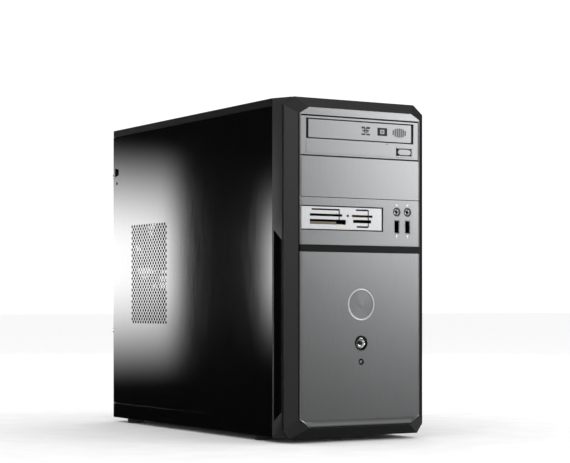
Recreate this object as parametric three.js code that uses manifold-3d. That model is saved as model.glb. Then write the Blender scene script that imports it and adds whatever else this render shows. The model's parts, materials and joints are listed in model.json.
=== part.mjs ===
// A mini desktop computer tower: steel chassis, moulded bezel, drives, power supply and main board,
// each piece a separate closed solid. Millimetres, +Z up, +X to the right seen from the front,
// +Y to the rear. The origin is the middle of the footprint, on the surface the feet stand on.
import * as THREE from 'three';
import { mergeVertices } from 'three/addons/utils/BufferGeometryUtils.js';
import { ConvexGeometry } from 'three/addons/geometries/ConvexGeometry.js';
import Module from 'manifold-3d';

const wasm = await Module();
wasm.setup();

// ---------------------------------------------------------------- driving dimensions

// Overall
const caseWidth = 175;
const bodyHeight = 355;
const bodyDepth = 424; // face of the bezel to the rear edge of the covers
const rearStandOff = 9; // how far the padlock loop stands out behind the covers
const footHeight = 5;
const footDiameter = 20;
const footInset = 12.5; // side of the case to the centre of a foot
const frontFootSetback = 77;
const rearFootSetback = 38;

// Sheet steel and fits
const sheet = 1;
const gap = 0.3; // between neighbouring pieces
const panelStripLow = 17.5; // height of the base pan's side strip
const panelStripHigh = 8; // height of the top cover's side strip
const lipWidth = 8.5; // inward lip that a side cover's return slides on
const fixedLipWidth = 4.5; // the riveted right cover needs only a narrow lip
const hookDrop = 2.5; // how far a cover's return hooks past the lip
const rearRecess = 1.3; // the rear panel sits this far in from the covers' rear edge

// Bezel
const bezelDepth = 36;
const bezelChamfer = 12; // depth of the chamfer
const bezelWall = 3;
const faceInset = { side: 10.4, top: 10.7, bottom: 10.2 };
const faceRecess = 1.8; // the silver facings stand this proud of the bezel's front
const outerClipTop = { x: 12, z: 10 };
const outerClipBottom = { x: 7, z: 10 };
const pocket = { front: 16.7, rear: 33, top: 222, bottom: 22, slope: 11, depth: 7 };
const snapArmHeights = [60, 180, 300];
const snapArm = { thickness: 2.2, height: 8, reach: 8 };

// Front facings
const facingWidth = 151.2;
const facingThickness = 3;
const facingClipTop = { x: 11.3, z: 6.5 };
const facingClipBottom = { x: 12.5, z: 8.5 };
const topTrimHeight = 7.8;
const bayPitch = 42.5;
const portPanelHeight = 49.8;
const stripHeight = 6.9;
const seam = 0.3; // half of the joint between two facings
const badgeDiameter = 34;
const badgeThickness = 1;
const badgeZ = 144;
const buttonZ = 103.5;
const buttonDiameter = 11;
const buttonRingDiameter = 15.6;
const buttonStem = 24;
const buttonTravel = 2;
const lightZ = 83.7;
const lightDiameter = 6.4;

// Front ports
const readerWidth = 101.6;
const readerHeight = 25;
const readerDepth = 110;
const readerDrop = 9; // below the spare bay
const portColumns = [45.5, 59.4];
const jackDrop = 12.9; // spare bay to the middle of the audio jacks
const jackDiameter = 9;
const jackBore = 3.6;
const jackBody = { width: 9, height: 8.4, front: 6.5, rear: 18 };
const usbDrop = 28.8; // spare bay to the middle of the USB ports
const usbShell = { width: 6.2, height: 13.6, wall: 0.5, depth: 16 };

// Drives
const driveWidth = 146;
const driveHeight = 41.3;
const driveDepth = 165;
const driveFace = { width: 148, height: 41.9, thickness: 4.4 };
const trayDoor = { halfWidth: 67.2, top: 3.9, bottom: 23.9 }; // drops measured from the bay's top line
const trayPlate = { halfWidth: 64, thickness: 6, length: 145 };
const discDiameter = 121;
const ejectButton = { x0: 47.2, x1: 64.4, top: 30.5, bottom: 37 };
const diskWidth = 101.6;
const diskHeight = 26.1;
const diskLength = 147;
const diskDrop = 31; // between the reader and the hard drive

// Power supply
const psuWidth = 150;
const psuHeight = 86;
const psuDepth = 140;
const psuWall = 1.2;
const psuFanDiameter = 80;
const inlet = { width: 27, height: 20, depth: 18 };
const rocker = { width: 13, height: 19, depth: 12, tilt: 7 };

// Main board and what stands on it
const boardSize = 243.8;
const boardThickness = 1.6;
const boardZ = 15;
const standoff = 6.5;
const trayInset = 7.5; // side of the case to the outer face of the motherboard tray
const slotPitch = 20.32;
const slotCount = 4;
const slotCoverWidth = 18.4;
const shieldSize = { width: 44.45, height: 158.75 };
const coolerSize = 86;
const coolerBase = 6;
const finHeight = 30;
const finCount = 12;
const cpuFanSize = 86;
const rearFanSize = 92;
const fanThickness = 25;
const moduleLength = 133;
const moduleHeight = 30;
const moduleCount = 2;
const modulePitch = 10;

// ---------------------------------------------------------------- derived places

const halfWidth = caseWidth / 2;
const frontY = -(bodyDepth + rearStandOff) / 2;
const rearY = frontY + bodyDepth;
const baseZ = footHeight;
const topZ = footHeight + bodyHeight;
const chassisFrontY = frontY + bezelDepth + gap;
const frontPlateRear = chassisFrontY + sheet;
const rearPanelOuter = rearY - rearRecess;
const rearPanelInner = rearPanelOuter - sheet;
const insideX = halfWidth - sheet - gap;
const coverLow = baseZ + panelStripLow + gap;
const coverHigh = topZ - panelStripHigh - gap;
const lipX = halfWidth - sheet - lipWidth;
const fixedLipX = halfWidth - sheet - fixedLipWidth;

const facingHalf = facingWidth / 2;
const facingTop = topZ - faceInset.top - 0.8;
const facingBottom = baseZ + faceInset.bottom + 1;
const bayTop = facingTop - topTrimHeight;
const spareTop = bayTop - bayPitch;
const spareBottom = spareTop - bayPitch;
const stripTop = spareBottom - portPanelHeight;
const stripBottom = stripTop - stripHeight;
const readerTop = spareBottom - readerDrop;
const jackZ = spareBottom - jackDrop;
const usbZ = spareBottom - usbDrop;
const readerBottom = readerTop - readerHeight;
const readerX0 = -driveFace.width / 2;
const readerX1 = readerX0 + readerWidth;
const facingBack = frontY + facingThickness;
const bezelWallFront = facingBack + gap;
const bezelWallBack = bezelWallFront + bezelWall;

const driveZ0 = spareTop + (bayPitch - driveHeight) / 2;
const driveFaceY = frontY + 0.8;
const driveFrontY = driveFaceY + driveFace.thickness + gap;
const driveRearY = driveFrontY + driveDepth;
const cageX = driveWidth / 2 + 0.6;
const driveOpening = driveFace.width / 2 + gap;

const psuTopZ = topZ - sheet - 1.5;
const psuBottomZ = psuTopZ - psuHeight;
const psuRearY = rearPanelInner - gap;
const psuFrontY = psuRearY - psuDepth;

const trayX = halfWidth - trayInset;
const boardBack = trayX - sheet - standoff;
const boardFace = boardBack - boardThickness;
const boardRearY = rearPanelInner - 2;
const boardFrontY = boardRearY - boardSize;
const boardTop = boardZ + boardSize;
const shieldX1 = boardBack + 1;
const shieldX0 = shieldX1 - shieldSize.width;
const shieldTop = boardTop - 1.2;
const shieldBottom = shieldTop - shieldSize.height;
const firstSlotZ = shieldBottom - 13;
const slotHeights = Array.from({ length: slotCount }, (_, i) => firstSlotZ - i * slotPitch);
const ledgeTop = firstSlotZ + slotCoverWidth / 2 + 1.5;
const ledgeBottom = slotHeights[slotCount - 1] - slotCoverWidth / 2 - 1.5;

const cpuY = boardRearY - 97;
const cpuZ = boardTop - 69;
const socketHeight = 4;
const coolerX1 = boardFace - socketHeight - gap;
const finX0 = coolerX1 - coolerBase - finHeight;
const cpuFanX0 = finX0 - gap - fanThickness;

const rearFanX = shieldX0 - 11 - rearFanSize / 2;
const rearFanZ = shieldTop - 6 - rearFanSize / 2;

const screwX = -halfWidth + 6.5;
const screwHeights = [ledgeTop + 16, coverHigh - 48]; // the lower one clears the card latch's swing
const loopZ = (coverLow + coverHigh) / 2 + 12;

// ---------------------------------------------------------------- solids

function solid(geometry) {
  const bare = geometry.index ? geometry.toNonIndexed() : geometry.clone();
  bare.deleteAttribute('normal');
  bare.deleteAttribute('uv');
  const merged = mergeVertices(bare, 1e-4);
  return new wasm.Manifold(new wasm.Mesh({
    numProp: 3,
    vertProperties: Float32Array.from(merged.attributes.position.array),
    triVerts: Uint32Array.from(merged.index.array),
  }));
}

function block(x, y, z) {
  const geometry = new THREE.BoxGeometry(x[1] - x[0], y[1] - y[0], z[1] - z[0]);
  geometry.translate((x[0] + x[1]) / 2, (y[0] + y[1]) / 2, (z[0] + z[1]) / 2);
  return solid(geometry);
}

function turnTo(geometry, axis) {
  if (axis === 'x') {
    geometry.rotateZ(-Math.PI / 2);
  }
  if (axis === 'z') {
    geometry.rotateX(Math.PI / 2);
  }
  return geometry;
}

// A round bar along an axis, between two places on it; centre holds the other two coordinates.
function rod(axis, diameter, from, to, centre, sides = 24) {
  const geometry = new THREE.CylinderGeometry(diameter / 2, diameter / 2, to - from, sides);
  turnTo(geometry, axis);
  const middle = (from + to) / 2;
  const places = {
    x: [middle, centre[0], centre[1]],
    y: [centre[0], middle, centre[1]],
    z: [centre[0], centre[1], middle],
  };
  geometry.translate(...places[axis]);
  return solid(geometry);
}

// A plate whose outline is drawn in X and Z, between two places on Y.
function platePoints(points, y) {
  const shape = new THREE.Shape(points.map(([x, z]) => new THREE.Vector2(x, z)));
  const geometry = new THREE.ExtrudeGeometry(shape, { depth: y[1] - y[0], bevelEnabled: false });
  geometry.rotateX(Math.PI / 2);
  geometry.translate(0, y[1], 0);
  return solid(geometry);
}

// A plate whose outline is drawn in Y and Z, between two places on X.
function sidePlate(points, x) {
  const shape = new THREE.Shape(points.map(([y, z]) => new THREE.Vector2(y, z)));
  const geometry = new THREE.ExtrudeGeometry(shape, { depth: x[1] - x[0], bevelEnabled: false });
  const toSide = new THREE.Matrix4().makeBasis(
    new THREE.Vector3(0, 1, 0),
    new THREE.Vector3(0, 0, 1),
    new THREE.Vector3(1, 0, 0),
  );
  geometry.applyMatrix4(toSide);
  geometry.translate(x[0], 0, 0);
  return solid(geometry);
}

function join(pieces) {
  return pieces.reduce((whole, piece) => whole.add(piece));
}

function cut(whole, tools) {
  return tools.reduce((rest, tool) => rest.subtract(tool), whole);
}

// Corners of a rectangle in X and Z with its four corners cut off.
function clipped(half, bottom, top, clipTop, clipBottom) {
  return [
    [-half + clipBottom.x, bottom],
    [half - clipBottom.x, bottom],
    [half, bottom + clipBottom.z],
    [half, top - clipTop.z],
    [half - clipTop.x, top],
    [-half + clipTop.x, top],
    [-half, top - clipTop.z],
    [-half, bottom + clipBottom.z],
  ];
}

// The solid that fills the space between outlines at several places on Y.
function hull(sections) {
  const points = sections.flatMap(({ y, outline }) => outline.map(([x, z]) => new THREE.Vector3(x, y, z)));
  return solid(new ConvexGeometry(points));
}

function toGeometry(manifold) {
  const mesh = manifold.getMesh();
  const geometry = new THREE.BufferGeometry();
  geometry.setAttribute('position', new THREE.BufferAttribute(Float32Array.from(mesh.vertProperties), 3));
  geometry.setIndex(new THREE.BufferAttribute(Uint32Array.from(mesh.triVerts), 1));
  geometry.computeVertexNormals();
  return geometry;
}

// ---------------------------------------------------------------- materials

function finish(color, roughness, metalness) {
  return new THREE.MeshStandardMaterial({ color, roughness, metalness });
}

const blackPaint = finish(0x141414, 0.35, 0.1);
const zincSteel = finish(0xa7a9a8, 0.45, 0.9);
const blackPlastic = finish(0x1c1c1c, 0.45, 0);
const silverPlastic = finish(0x8f9091, 0.38, 0.55);
const brightPlastic = finish(0xd6d6d6, 0.25, 0.5);
const chrome = finish(0xe2e2e2, 0.08, 1);
const rubber = finish(0x101010, 0.85, 0);
const lens = finish(0xe8ece6, 0.2, 0);
const boardGreen = finish(0x1d4a33, 0.5, 0.1);
const castAluminium = finish(0xb9bcbe, 0.4, 0.9);
const cableJacket = finish(0x2a2a2a, 0.6, 0);

const group = new THREE.Group();
group.name = 'computer_tower';

function addPart(name, shape, material, place = group) {
  const mesh = new THREE.Mesh(toGeometry(shape), material);
  mesh.name = name;
  place.add(mesh);
  return mesh;
}

// ---------------------------------------------------------------- feet

// A rubber foot on a plug that snaps up through the base pan; local origin under its centre.
const footPlugDiameter = 7;

function footShape() {
  const radius = footDiameter / 2;
  const profile = [
    new THREE.Vector2(0, 0),
    new THREE.Vector2(radius - 1.5, 0),
    new THREE.Vector2(radius, 1),
    new THREE.Vector2(radius - 0.8, footHeight - gap),
    new THREE.Vector2(footPlugDiameter / 2, footHeight - gap),
    new THREE.Vector2(footPlugDiameter / 2, footHeight + sheet + 2),
    new THREE.Vector2(0, footHeight + sheet + 2),
  ];
  const geometry = new THREE.LatheGeometry(profile, 20);
  geometry.rotateX(Math.PI / 2);
  return solid(geometry);
}

const footPlaces = [
  ['foot_front_left', -1, frontY + frontFootSetback],
  ['foot_front_right', 1, frontY + frontFootSetback],
  ['foot_rear_left', -1, rearY - rearFootSetback],
  ['foot_rear_right', 1, rearY - rearFootSetback],
];

function addFeet() {
  for (const [name, side, y] of footPlaces) {
    const foot = addPart(name, footShape(), rubber);
    foot.position.set(side * (halfWidth - footInset), y, 0);
  }
}

// ---------------------------------------------------------------- chassis sheets

const chassisY = [chassisFrontY, rearY];
const lipRun = [frontPlateRear + gap, rearPanelInner - gap];

function addBasePan() {
  let pan = join([
    block([-halfWidth, halfWidth], chassisY, [baseZ, baseZ + sheet]),
    ...[-1, 1].flatMap((side) => stripWithLip(side, baseZ, baseZ + panelStripLow)),
  ]);
  const holes = footPlaces.map(([, side, y]) => rod(
    'z', footPlugDiameter + 2 * gap, baseZ - 1, baseZ + sheet + 1,
    [side * (halfWidth - footInset), y], 20,
  ));
  pan = cut(pan, holes);
  addPart('base_pan', pan, blackPaint);
}

// A side strip of the base pan (from its bottom z) or the top cover (to its top z), and its inward lip.
function stripWithLip(side, from, to) {
  const lipZ = from < (baseZ + topZ) / 2 ? to - sheet : from;
  const wall = side > 0 ? [halfWidth - sheet, halfWidth] : [-halfWidth, -halfWidth + sheet];
  const lip = side > 0 ? [fixedLipX, halfWidth] : [-halfWidth, -lipX];
  return [
    block(wall, chassisY, [from, to]),
    block(lip, lipRun, [lipZ, lipZ + sheet]),
  ];
}

function addTopCover() {
  const cover = join([
    block([-halfWidth, halfWidth], chassisY, [topZ - sheet, topZ]),
    ...[-1, 1].flatMap((side) => stripWithLip(side, topZ - panelStripHigh, topZ)),
  ]);
  addPart('top_cover', cover, blackPaint);
}

// A side cover: flat sheet, inward returns along its lower and upper edges, and a rear flange.
const returnEnd = rearPanelInner - 0.6;
const returnX = lipX - gap - sheet;

function sideCover(side, returnEdge) {
  const between = (inner) => (side > 0 ? [inner, halfWidth] : [-halfWidth, -inner]);
  const run = [lipRun[0], returnEnd];
  return join([
    block(between(halfWidth - sheet), chassisY, [coverLow, coverHigh]),
    block(between(returnEdge), run, [coverLow, coverLow + sheet]),
    block(between(returnEdge), run, [coverHigh - sheet, coverHigh]),
    block(between(returnX), [rearY - sheet, rearY], [coverLow + 2 * sheet, coverHigh - 2 * sheet]),
  ]);
}

// The sliding cover's returns hook past the lips, so it only comes off to the rear.
function coverHooks() {
  const x = [-returnX - sheet, -returnX];
  const run = [lipRun[0], returnEnd];
  return [
    block(x, run, [coverLow - hookDrop, coverLow + sheet]),
    block(x, run, [coverHigh - sheet, coverHigh + hookDrop]),
  ];
}

const gripTop = coverHigh - 38.5;
const shankDiameter = 3.5;

function addSideCovers() {
  const screwHoles = screwHeights.map((z) => (
    rod('y', shankDiameter + 1, rearY - 3, rearY + 3, [screwX, z], 16)
  ));
  const gripOutline = [
    [rearY - 15, gripTop - 9],
    [rearY - 4.5, gripTop - 11],
    [rearY - 4.5, gripTop],
    [rearY - 15, gripTop - 2],
  ];
  const left = cut(join([sideCover(-1, returnX), ...coverHooks()]), [
    ...screwHoles,
    block([screwX - 2.6, screwX + 2.6], [rearY - 3, rearY + 3], [loopZ - 9, loopZ + 9]),
    sidePlate(gripOutline, [-halfWidth - 1, -halfWidth + sheet + 1]),
    rod('x', 4, -halfWidth - 1, -halfWidth + sheet + 1, [rearY - 10, gripTop - 19], 16),
  ]);
  addPart('left_side_panel', left, blackPaint);
  addPart('right_side_panel', sideCover(1, fixedLipX), blackPaint);
}

// ---------------------------------------------------------------- front plate

function addFrontPlate() {
  const y = [chassisFrontY, frontPlateRear];
  const through = [chassisFrontY - 1, frontPlateRear + 1];
  const tools = [
    block([-driveWidth / 2 - 0.2, driveWidth / 2 + 0.2], through, [spareBottom + 3, bayTop]),
    block([readerX0 - 0.4, readerX1 + 0.4], through, [readerBottom - 0.4, readerTop + 0.4]),
    block([portColumns[0] - 9, portColumns[1] + 9], through, [readerBottom - 6, readerTop + 3]),
  ];
  for (const side of [-1, 1]) {
    for (const z of snapArmHeights) {
      tools.push(block(
        [side * snapArmX - snapArm.thickness / 2 - 1, side * snapArmX + snapArm.thickness / 2 + 1],
        through,
        [z - snapArm.height / 2 - 1, z + snapArm.height / 2 + 1],
      ));
    }
  }
  const intakeRows = 5;
  const intakeWidth = 78;
  for (let row = 0; row < intakeRows; row += 1) {
    const z = baseZ + 25 + row * 9;
    tools.push(block([-intakeWidth / 2, intakeWidth / 2], through, [z, z + 5]));
  }
  const plate = cut(block([-insideX, insideX], y, [baseZ + sheet + gap, topZ - sheet - gap]), tools);
  addPart('front_plate', plate, zincSteel);
}

// ---------------------------------------------------------------- rear panel and what it carries

const slotOpening = 13;
const slotX0 = -40;
const slotX1 = shieldX1 - 9;
const tabX = slotX0 - 6.5; // the bent tabs of the slot covers
const tabThickness = 0.9;
const tabRear = rearY + 6.5;
const psuFanX = -psuWidth / 2 + 47;
const psuFanZ = psuBottomZ + psuHeight / 2;
const inletX = psuWidth / 2 - 25;
const inletZ = psuBottomZ + 20;
const rockerZ = psuTopZ - 26;

// The latch over the tabs swings out about a pin at its foot, along Y, riveted to the rear panel.
const latchPin = { x: tabX - 5.2, z: ledgeBottom - 2.5 };
const latchY0 = rearY + 0.4;
const latchY1 = latchY0 + 6.5;

function addRearPanel() {
  const y = [rearPanelInner, rearPanelOuter];
  const through = [rearPanelInner - 1, rearPanelOuter + 1];
  const hookRoom = hookDrop + 0.6;
  const tools = [
    block([-psuWidth / 2 + 4, psuWidth / 2 - 4], through, [psuBottomZ + 4, psuTopZ - 4]),
    block([shieldX0, shieldX1], through, [shieldBottom, shieldTop]),
    block([-halfWidth, -returnX + 0.5], through, [coverLow - hookRoom, coverLow + sheet + 0.5]),
    block([-halfWidth, -returnX + 0.5], through, [coverHigh - sheet - 0.5, coverHigh + hookRoom]),
    block([tabX - 1.6, tabX + tabThickness + 0.4], through, [ledgeBottom, ledgeTop]),
  ];
  for (const z of screwHeights) {
    tools.push(rod('y', shankDiameter + 1, ...through, [screwX, z], 16));
  }
  for (const z of slotHeights) {
    tools.push(block([slotX0, slotX1], through, [z - slotOpening / 2, z + slotOpening / 2]));
  }
  // the fan's grille is left as bars between rows of slots
  const bars = 9;
  const barPitch = (rearFanSize - 8) / bars;
  const grilleRadius = rearFanSize / 2 - 4;
  for (let bar = 0; bar < bars; bar += 1) {
    const z = rearFanZ - grilleRadius + (bar + 0.5) * barPitch;
    const half = Math.sqrt(grilleRadius ** 2 - (z - rearFanZ) ** 2);
    const rows = [z - barPitch / 2 + 1.3, z + barPitch / 2 - 1.3];
    tools.push(block([rearFanX - half, rearFanX - 1.5], through, rows));
    tools.push(block([rearFanX + 1.5, rearFanX + half], through, rows));
  }
  let panel = block([-insideX, insideX], y, [baseZ + sheet + gap, topZ - sheet - gap]);
  panel = cut(panel, tools);
  const ledgeX = tabX + tabThickness + 0.4;
  panel = panel.add(block([ledgeX, ledgeX + sheet], [rearPanelInner, tabRear], [ledgeBottom, ledgeTop]));
  panel = cut(panel, [block([screwX - 1.2, screwX + 1.2], through, [loopZ - 7.5, loopZ + 7.5])]);
  panel = join([
    panel,
    rod('y', 4, rearPanelInner, latchY1 + 0.6, [latchPin.x, latchPin.z], 20),
    rod('y', 6.4, latchY1 + 0.3, latchY1 + 1.2, [latchPin.x, latchPin.z], 20),
  ]);
  addPart('rear_panel', panel, zincSteel);
}

// A steel loop for a padlock; it passes through the cover's flange and is riveted inside.
function addPadlockLoop() {
  const half = 0.75;
  const reach = rearY + rearStandOff;
  const corner = 4;
  const outline = [
    [rearPanelInner - 4, loopZ - 6.8],
    [reach - corner, loopZ - 6.8],
    [reach, loopZ - 6.8 + corner],
    [reach, loopZ + 6.8 - corner],
    [reach - corner, loopZ + 6.8],
    [rearPanelInner - 4, loopZ + 6.8],
  ];
  const loop = cut(sidePlate(outline, [screwX - half, screwX + half]), [
    rod('x', 6.6, screwX - 2, screwX + 2, [rearY + rearStandOff - 4.7, loopZ], 20),
  ]);
  addPart('padlock_loop', loop, zincSteel);
}

function addThumbscrews() {
  const names = ['thumbscrew_lower', 'thumbscrew_upper'];
  screwHeights.forEach((z, i) => {
    const head = new THREE.CylinderGeometry(5, 5, 6, 24);
    const shape = join([
      solid(head).translate([0, 3 + gap, 0]),
      rod('y', shankDiameter, -8, 1, [0, 0], 12),
    ]);
    const flutes = 12;
    const notches = [];
    for (let n = 0; n < flutes; n += 1) {
      const angle = (n / flutes) * 2 * Math.PI;
      notches.push(rod('y', 1, 1, 7, [5.1 * Math.cos(angle), 5.1 * Math.sin(angle)], 6));
    }
    const screw = addPart(names[i], cut(shape, notches), zincSteel);
    screw.position.set(screwX, rearY, z);
  });
}

// Blanking covers over the expansion slots, each with a bent tab that stands out behind.
function addSlotCovers() {
  const y1 = rearPanelInner - gap;
  const y0 = y1 - tabThickness;
  slotHeights.forEach((z, i) => {
    const half = slotCoverWidth / 2;
    const cover = join([
      block([tabX, slotX1 + 5], [y0, y1], [z - half, z + half]),
      block([tabX, tabX + tabThickness], [y0, tabRear - 0.5], [z - half, z + half]),
      block([slotX0 + 20, slotX1 - 15], [y0, y1 + 0.9], [z - 4, z + 4]),
    ]);
    addPart(`slot_cover_${i + 1}`, cover, zincSteel);
  });
}

function addCardLatch() {
  const y0 = latchY0;
  const y1 = latchY1;
  const x1 = tabX - gap;
  const arm = join([
    block([x1 - 3, x1], [y0, y1], [latchPin.z, ledgeTop + 3]),
    block([x1 - 8, x1 - 2.5], [y0, y0 + 2], [latchPin.z, ledgeTop + 3]),
    rod('y', 10, y0, y1, [latchPin.x, latchPin.z], 20),
    block([x1 - 9.5, x1 - 2.5], [y0, y1], [ledgeTop - 3, ledgeTop + 3]),
  ]);
  const pinHole = rod('y', 4.6, y0 - 1, y1 + 1, [latchPin.x, latchPin.z], 20);
  addPart('card_latch', cut(arm, [pinHole]), blackPlastic);
}

// ---------------------------------------------------------------- motherboard tray, board and cooling

function addMotherboardTray() {
  const pieces = [block(
    [trayX - sheet, trayX],
    [boardFrontY - 4, rearPanelInner - gap],
    [baseZ + sheet + gap, boardTop + 4],
  )];
  const rows = [0.04, 0.5, 0.96];
  for (const u of rows) {
    for (const v of rows) {
      const y = boardFrontY + boardSize * u;
      const z = boardZ + boardSize * v;
      pieces.push(rod('x', 6, boardBack + gap, trayX, [y, z], 8));
    }
  }
  const tray = cut(join(pieces), [
    block([trayX - 2, trayX + 1], [cpuY - 40, cpuY + 40], [cpuZ - 40, cpuZ + 40]),
  ]);
  addPart('motherboard_tray', tray, zincSteel);
}

// Memory modules stand on edge in soldered sockets in front of the processor.
const moduleY = cpuY - coolerSize / 2 - 16;
const moduleZ0 = boardTop - 8 - moduleLength;
const moduleFoot = boardFace - 5; // contacts end this far off the board
const moduleThickness = 1.3;

function modulePlace(i) {
  return moduleY - i * modulePitch;
}

function addMainBoard() {
  const on = (height) => [boardFace - height, boardFace + 0.4];
  const square = (size, centre) => [centre - size / 2, centre + size / 2];
  const pieces = [
    block([boardFace, boardBack], [boardFrontY, boardRearY], [boardZ, boardTop]),
    block(on(socketHeight), square(40, cpuY), square(40, cpuZ)),
    block(on(12), square(36, cpuY - 20), square(36, boardZ + 92)),
    block(on(12), [boardFrontY + 5, boardFrontY + 15], [boardTop - 80, boardTop - 28]),
    block(on(9), [boardFrontY + 3, boardFrontY + 21], [boardZ + 40, boardZ + 54]),
    block(on(8), [boardFrontY + 30, boardFrontY + 38], [boardZ + 6, boardZ + 32]),
    rod('x', 20, boardFace - 4, boardFace, [cpuY - 55, boardZ + 12], 20),
  ];
  const sockets = [];
  for (let i = 0; i < moduleCount; i += 1) {
    const y = modulePlace(i);
    pieces.push(block(on(11), [y - 3.2, y + 3.2], [moduleZ0 - 4, moduleZ0 + moduleLength + 4]));
    sockets.push(block(
      [boardFace - 12, moduleFoot + gap],
      [y - moduleThickness / 2 - gap, y + moduleThickness / 2 + gap],
      [moduleZ0 - gap, moduleZ0 + moduleLength + gap],
    ));
  }
  const cardSlotY = boardRearY - 50;
  slotHeights.forEach((z, i) => {
    const length = i === 1 ? 89 : 85;
    const front = cardSlotY - length;
    pieces.push(block(on(11), [front, cardSlotY], [z - 3.7, z + 3.7]));
    sockets.push(block([boardFace - 12, boardFace - 4], [front + 1, cardSlotY - 1], [z - 1, z + 1]));
  });
  const canRows = 6;
  for (let i = 0; i < canRows; i += 1) {
    pieces.push(rod('x', 8, boardFace - 12, boardFace, [cpuY + 30 - i * 12, boardTop - 10], 10));
  }
  addPart('main_board', cut(join(pieces), sockets), boardGreen);
}

function addMemory() {
  for (let i = 0; i < moduleCount; i += 1) {
    const y = modulePlace(i);
    const card = [y - moduleThickness / 2, y + moduleThickness / 2];
    const blade = block([moduleFoot - moduleHeight, moduleFoot], card, [moduleZ0, moduleZ0 + moduleLength]);
    const module = [blade];
    const chips = 8;
    for (let c = 0; c < chips; c += 1) {
      const z = moduleZ0 + 6 + c * ((moduleLength - 12) / chips);
      module.push(block([moduleFoot - 22, moduleFoot - 11], [card[0] - 1, card[1]], [z, z + 10]));
    }
    addPart(`memory_module_${i + 1}`, join(module), boardGreen);
  }
}

function addCooler() {
  const y = [cpuY - coolerSize / 2, cpuY + coolerSize / 2];
  const z = [cpuZ - coolerSize / 2, cpuZ + coolerSize / 2];
  const fins = [block([coolerX1 - coolerBase, coolerX1], y, z)];
  const pitch = (coolerSize - 1.6) / (finCount - 1);
  for (let i = 0; i < finCount; i += 1) {
    const start = y[0] + i * pitch;
    fins.push(block([finX0, coolerX1 - 1], [start, start + 1.6], z));
  }
  addPart('cpu_heatsink', join(fins), castAluminium);
}

// A square fan frame along local Z, from its strut side at z = 0; the motor boss sits on four struts.
const strutDepth = 3.5;

function fanFrame(size) {
  const bore = size - 5;
  const boss = size * 0.4;
  const half = size / 2;
  const arm = bore / 2 + 1;
  return join([
    cut(block([-half, half], [-half, half], [0, fanThickness]), [
      rod('z', bore, -1, fanThickness + 1, [0, 0], 36),
      ...[-1, 1].flatMap((u) => [-1, 1].map((v) => rod(
        'z', 4.3, -1, fanThickness + 1, [u * (half - 5), v * (half - 5)], 10,
      ))),
    ]),
    rod('z', boss, 0, strutDepth, [0, 0], 24),
    block([-arm, arm], [-1.6, 1.6], [0, strutDepth]),
    block([-1.6, 1.6], [-arm, arm], [0, strutDepth]),
  ]);
}

// A fan rotor along local Z that runs in front of the struts; seven pitched blades on a hub.
function fanRotor(size, bottom, top) {
  const blades = 7;
  const hub = size * 0.4;
  const tip = (size - 5) / 2 - 1.5;
  const chord = (top - bottom) * 1.25;
  const pieces = [rod('z', hub, bottom, top, [0, 0], 24)];
  for (let i = 0; i < blades; i += 1) {
    const from = hub / 2 - 1.5;
    const reach = Math.sqrt(tip ** 2 - (chord / 2) ** 2);
    const blade = new THREE.BoxGeometry(reach - from, 1.6, chord);
    blade.rotateX(THREE.MathUtils.degToRad(48));
    blade.translate((from + reach) / 2, 0, (bottom + top) / 2);
    blade.rotateZ((i / blades) * 2 * Math.PI);
    pieces.push(solid(blade));
  }
  return join(pieces);
}

function addCpuFan() {
  const place = new THREE.Group();
  place.position.set(cpuFanX0 + fanThickness, cpuY, cpuZ);
  place.rotation.y = -Math.PI / 2;
  group.add(place);
  addPart('cpu_fan_frame', fanFrame(cpuFanSize), blackPlastic, place);
  addPart('cpu_fan_rotor', fanRotor(cpuFanSize, strutDepth + 1, fanThickness - 1.5), blackPlastic, place);
}

function addRearFan() {
  const place = new THREE.Group();
  place.position.set(rearFanX, rearPanelInner - gap, rearFanZ);
  place.rotation.x = Math.PI / 2;
  group.add(place);
  addPart('rear_fan_frame', fanFrame(rearFanSize), blackPlastic, place);
  addPart('rear_fan_rotor', fanRotor(rearFanSize, strutDepth + 1, fanThickness - 1.5), blackPlastic, place);
}

// ---------------------------------------------------------------- rear ports

// Socket mouths on the rear port block: x and z from its lower inner corner, width, height.
const portMouths = [
  { x: 7, z: 4, width: 16, height: 15 }, // two stacked USB ports
  { x: 7, z: 25, width: 16, height: 15 }, // two more
  { x: 8, z: 46, width: 14, height: 13 }, // network
  { x: 8, z: 65, width: 11, height: 31 }, // display
  { x: 10, z: 103, width: 9, height: 9 }, // line in, line out and microphone
  { x: 10, z: 117, width: 9, height: 9 },
  { x: 10, z: 131, width: 9, height: 9 },
];
const mouthDepth = 14;
const portDepth = 22;

function addRearPorts() {
  const x0 = shieldX0 + 6;
  const z0 = shieldBottom + 6;
  const y1 = rearPanelInner - 2 * gap;
  const holes = (spread, y) => portMouths.map(({ x, z, width, height }) => block(
    [x0 + x - spread, x0 + x + width + spread], y, [z0 + z - spread, z0 + z + height + spread],
  ));
  const body = block([x0, boardFace - gap], [y1 - portDepth, y1], [z0, shieldTop - 6]);
  addPart('rear_ports', cut(body, holes(0, [y1 - mouthDepth, y1 + 1])), blackPlastic);
  const shield = block(
    [shieldX0 + gap, shieldX1 - gap],
    [rearPanelInner - gap, rearPanelOuter],
    [shieldBottom + gap, shieldTop - gap],
  );
  addPart('io_shield', cut(shield, holes(0.6, [rearPanelInner - 3, rearY])), zincSteel);
}

// ---------------------------------------------------------------- power supply

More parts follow.
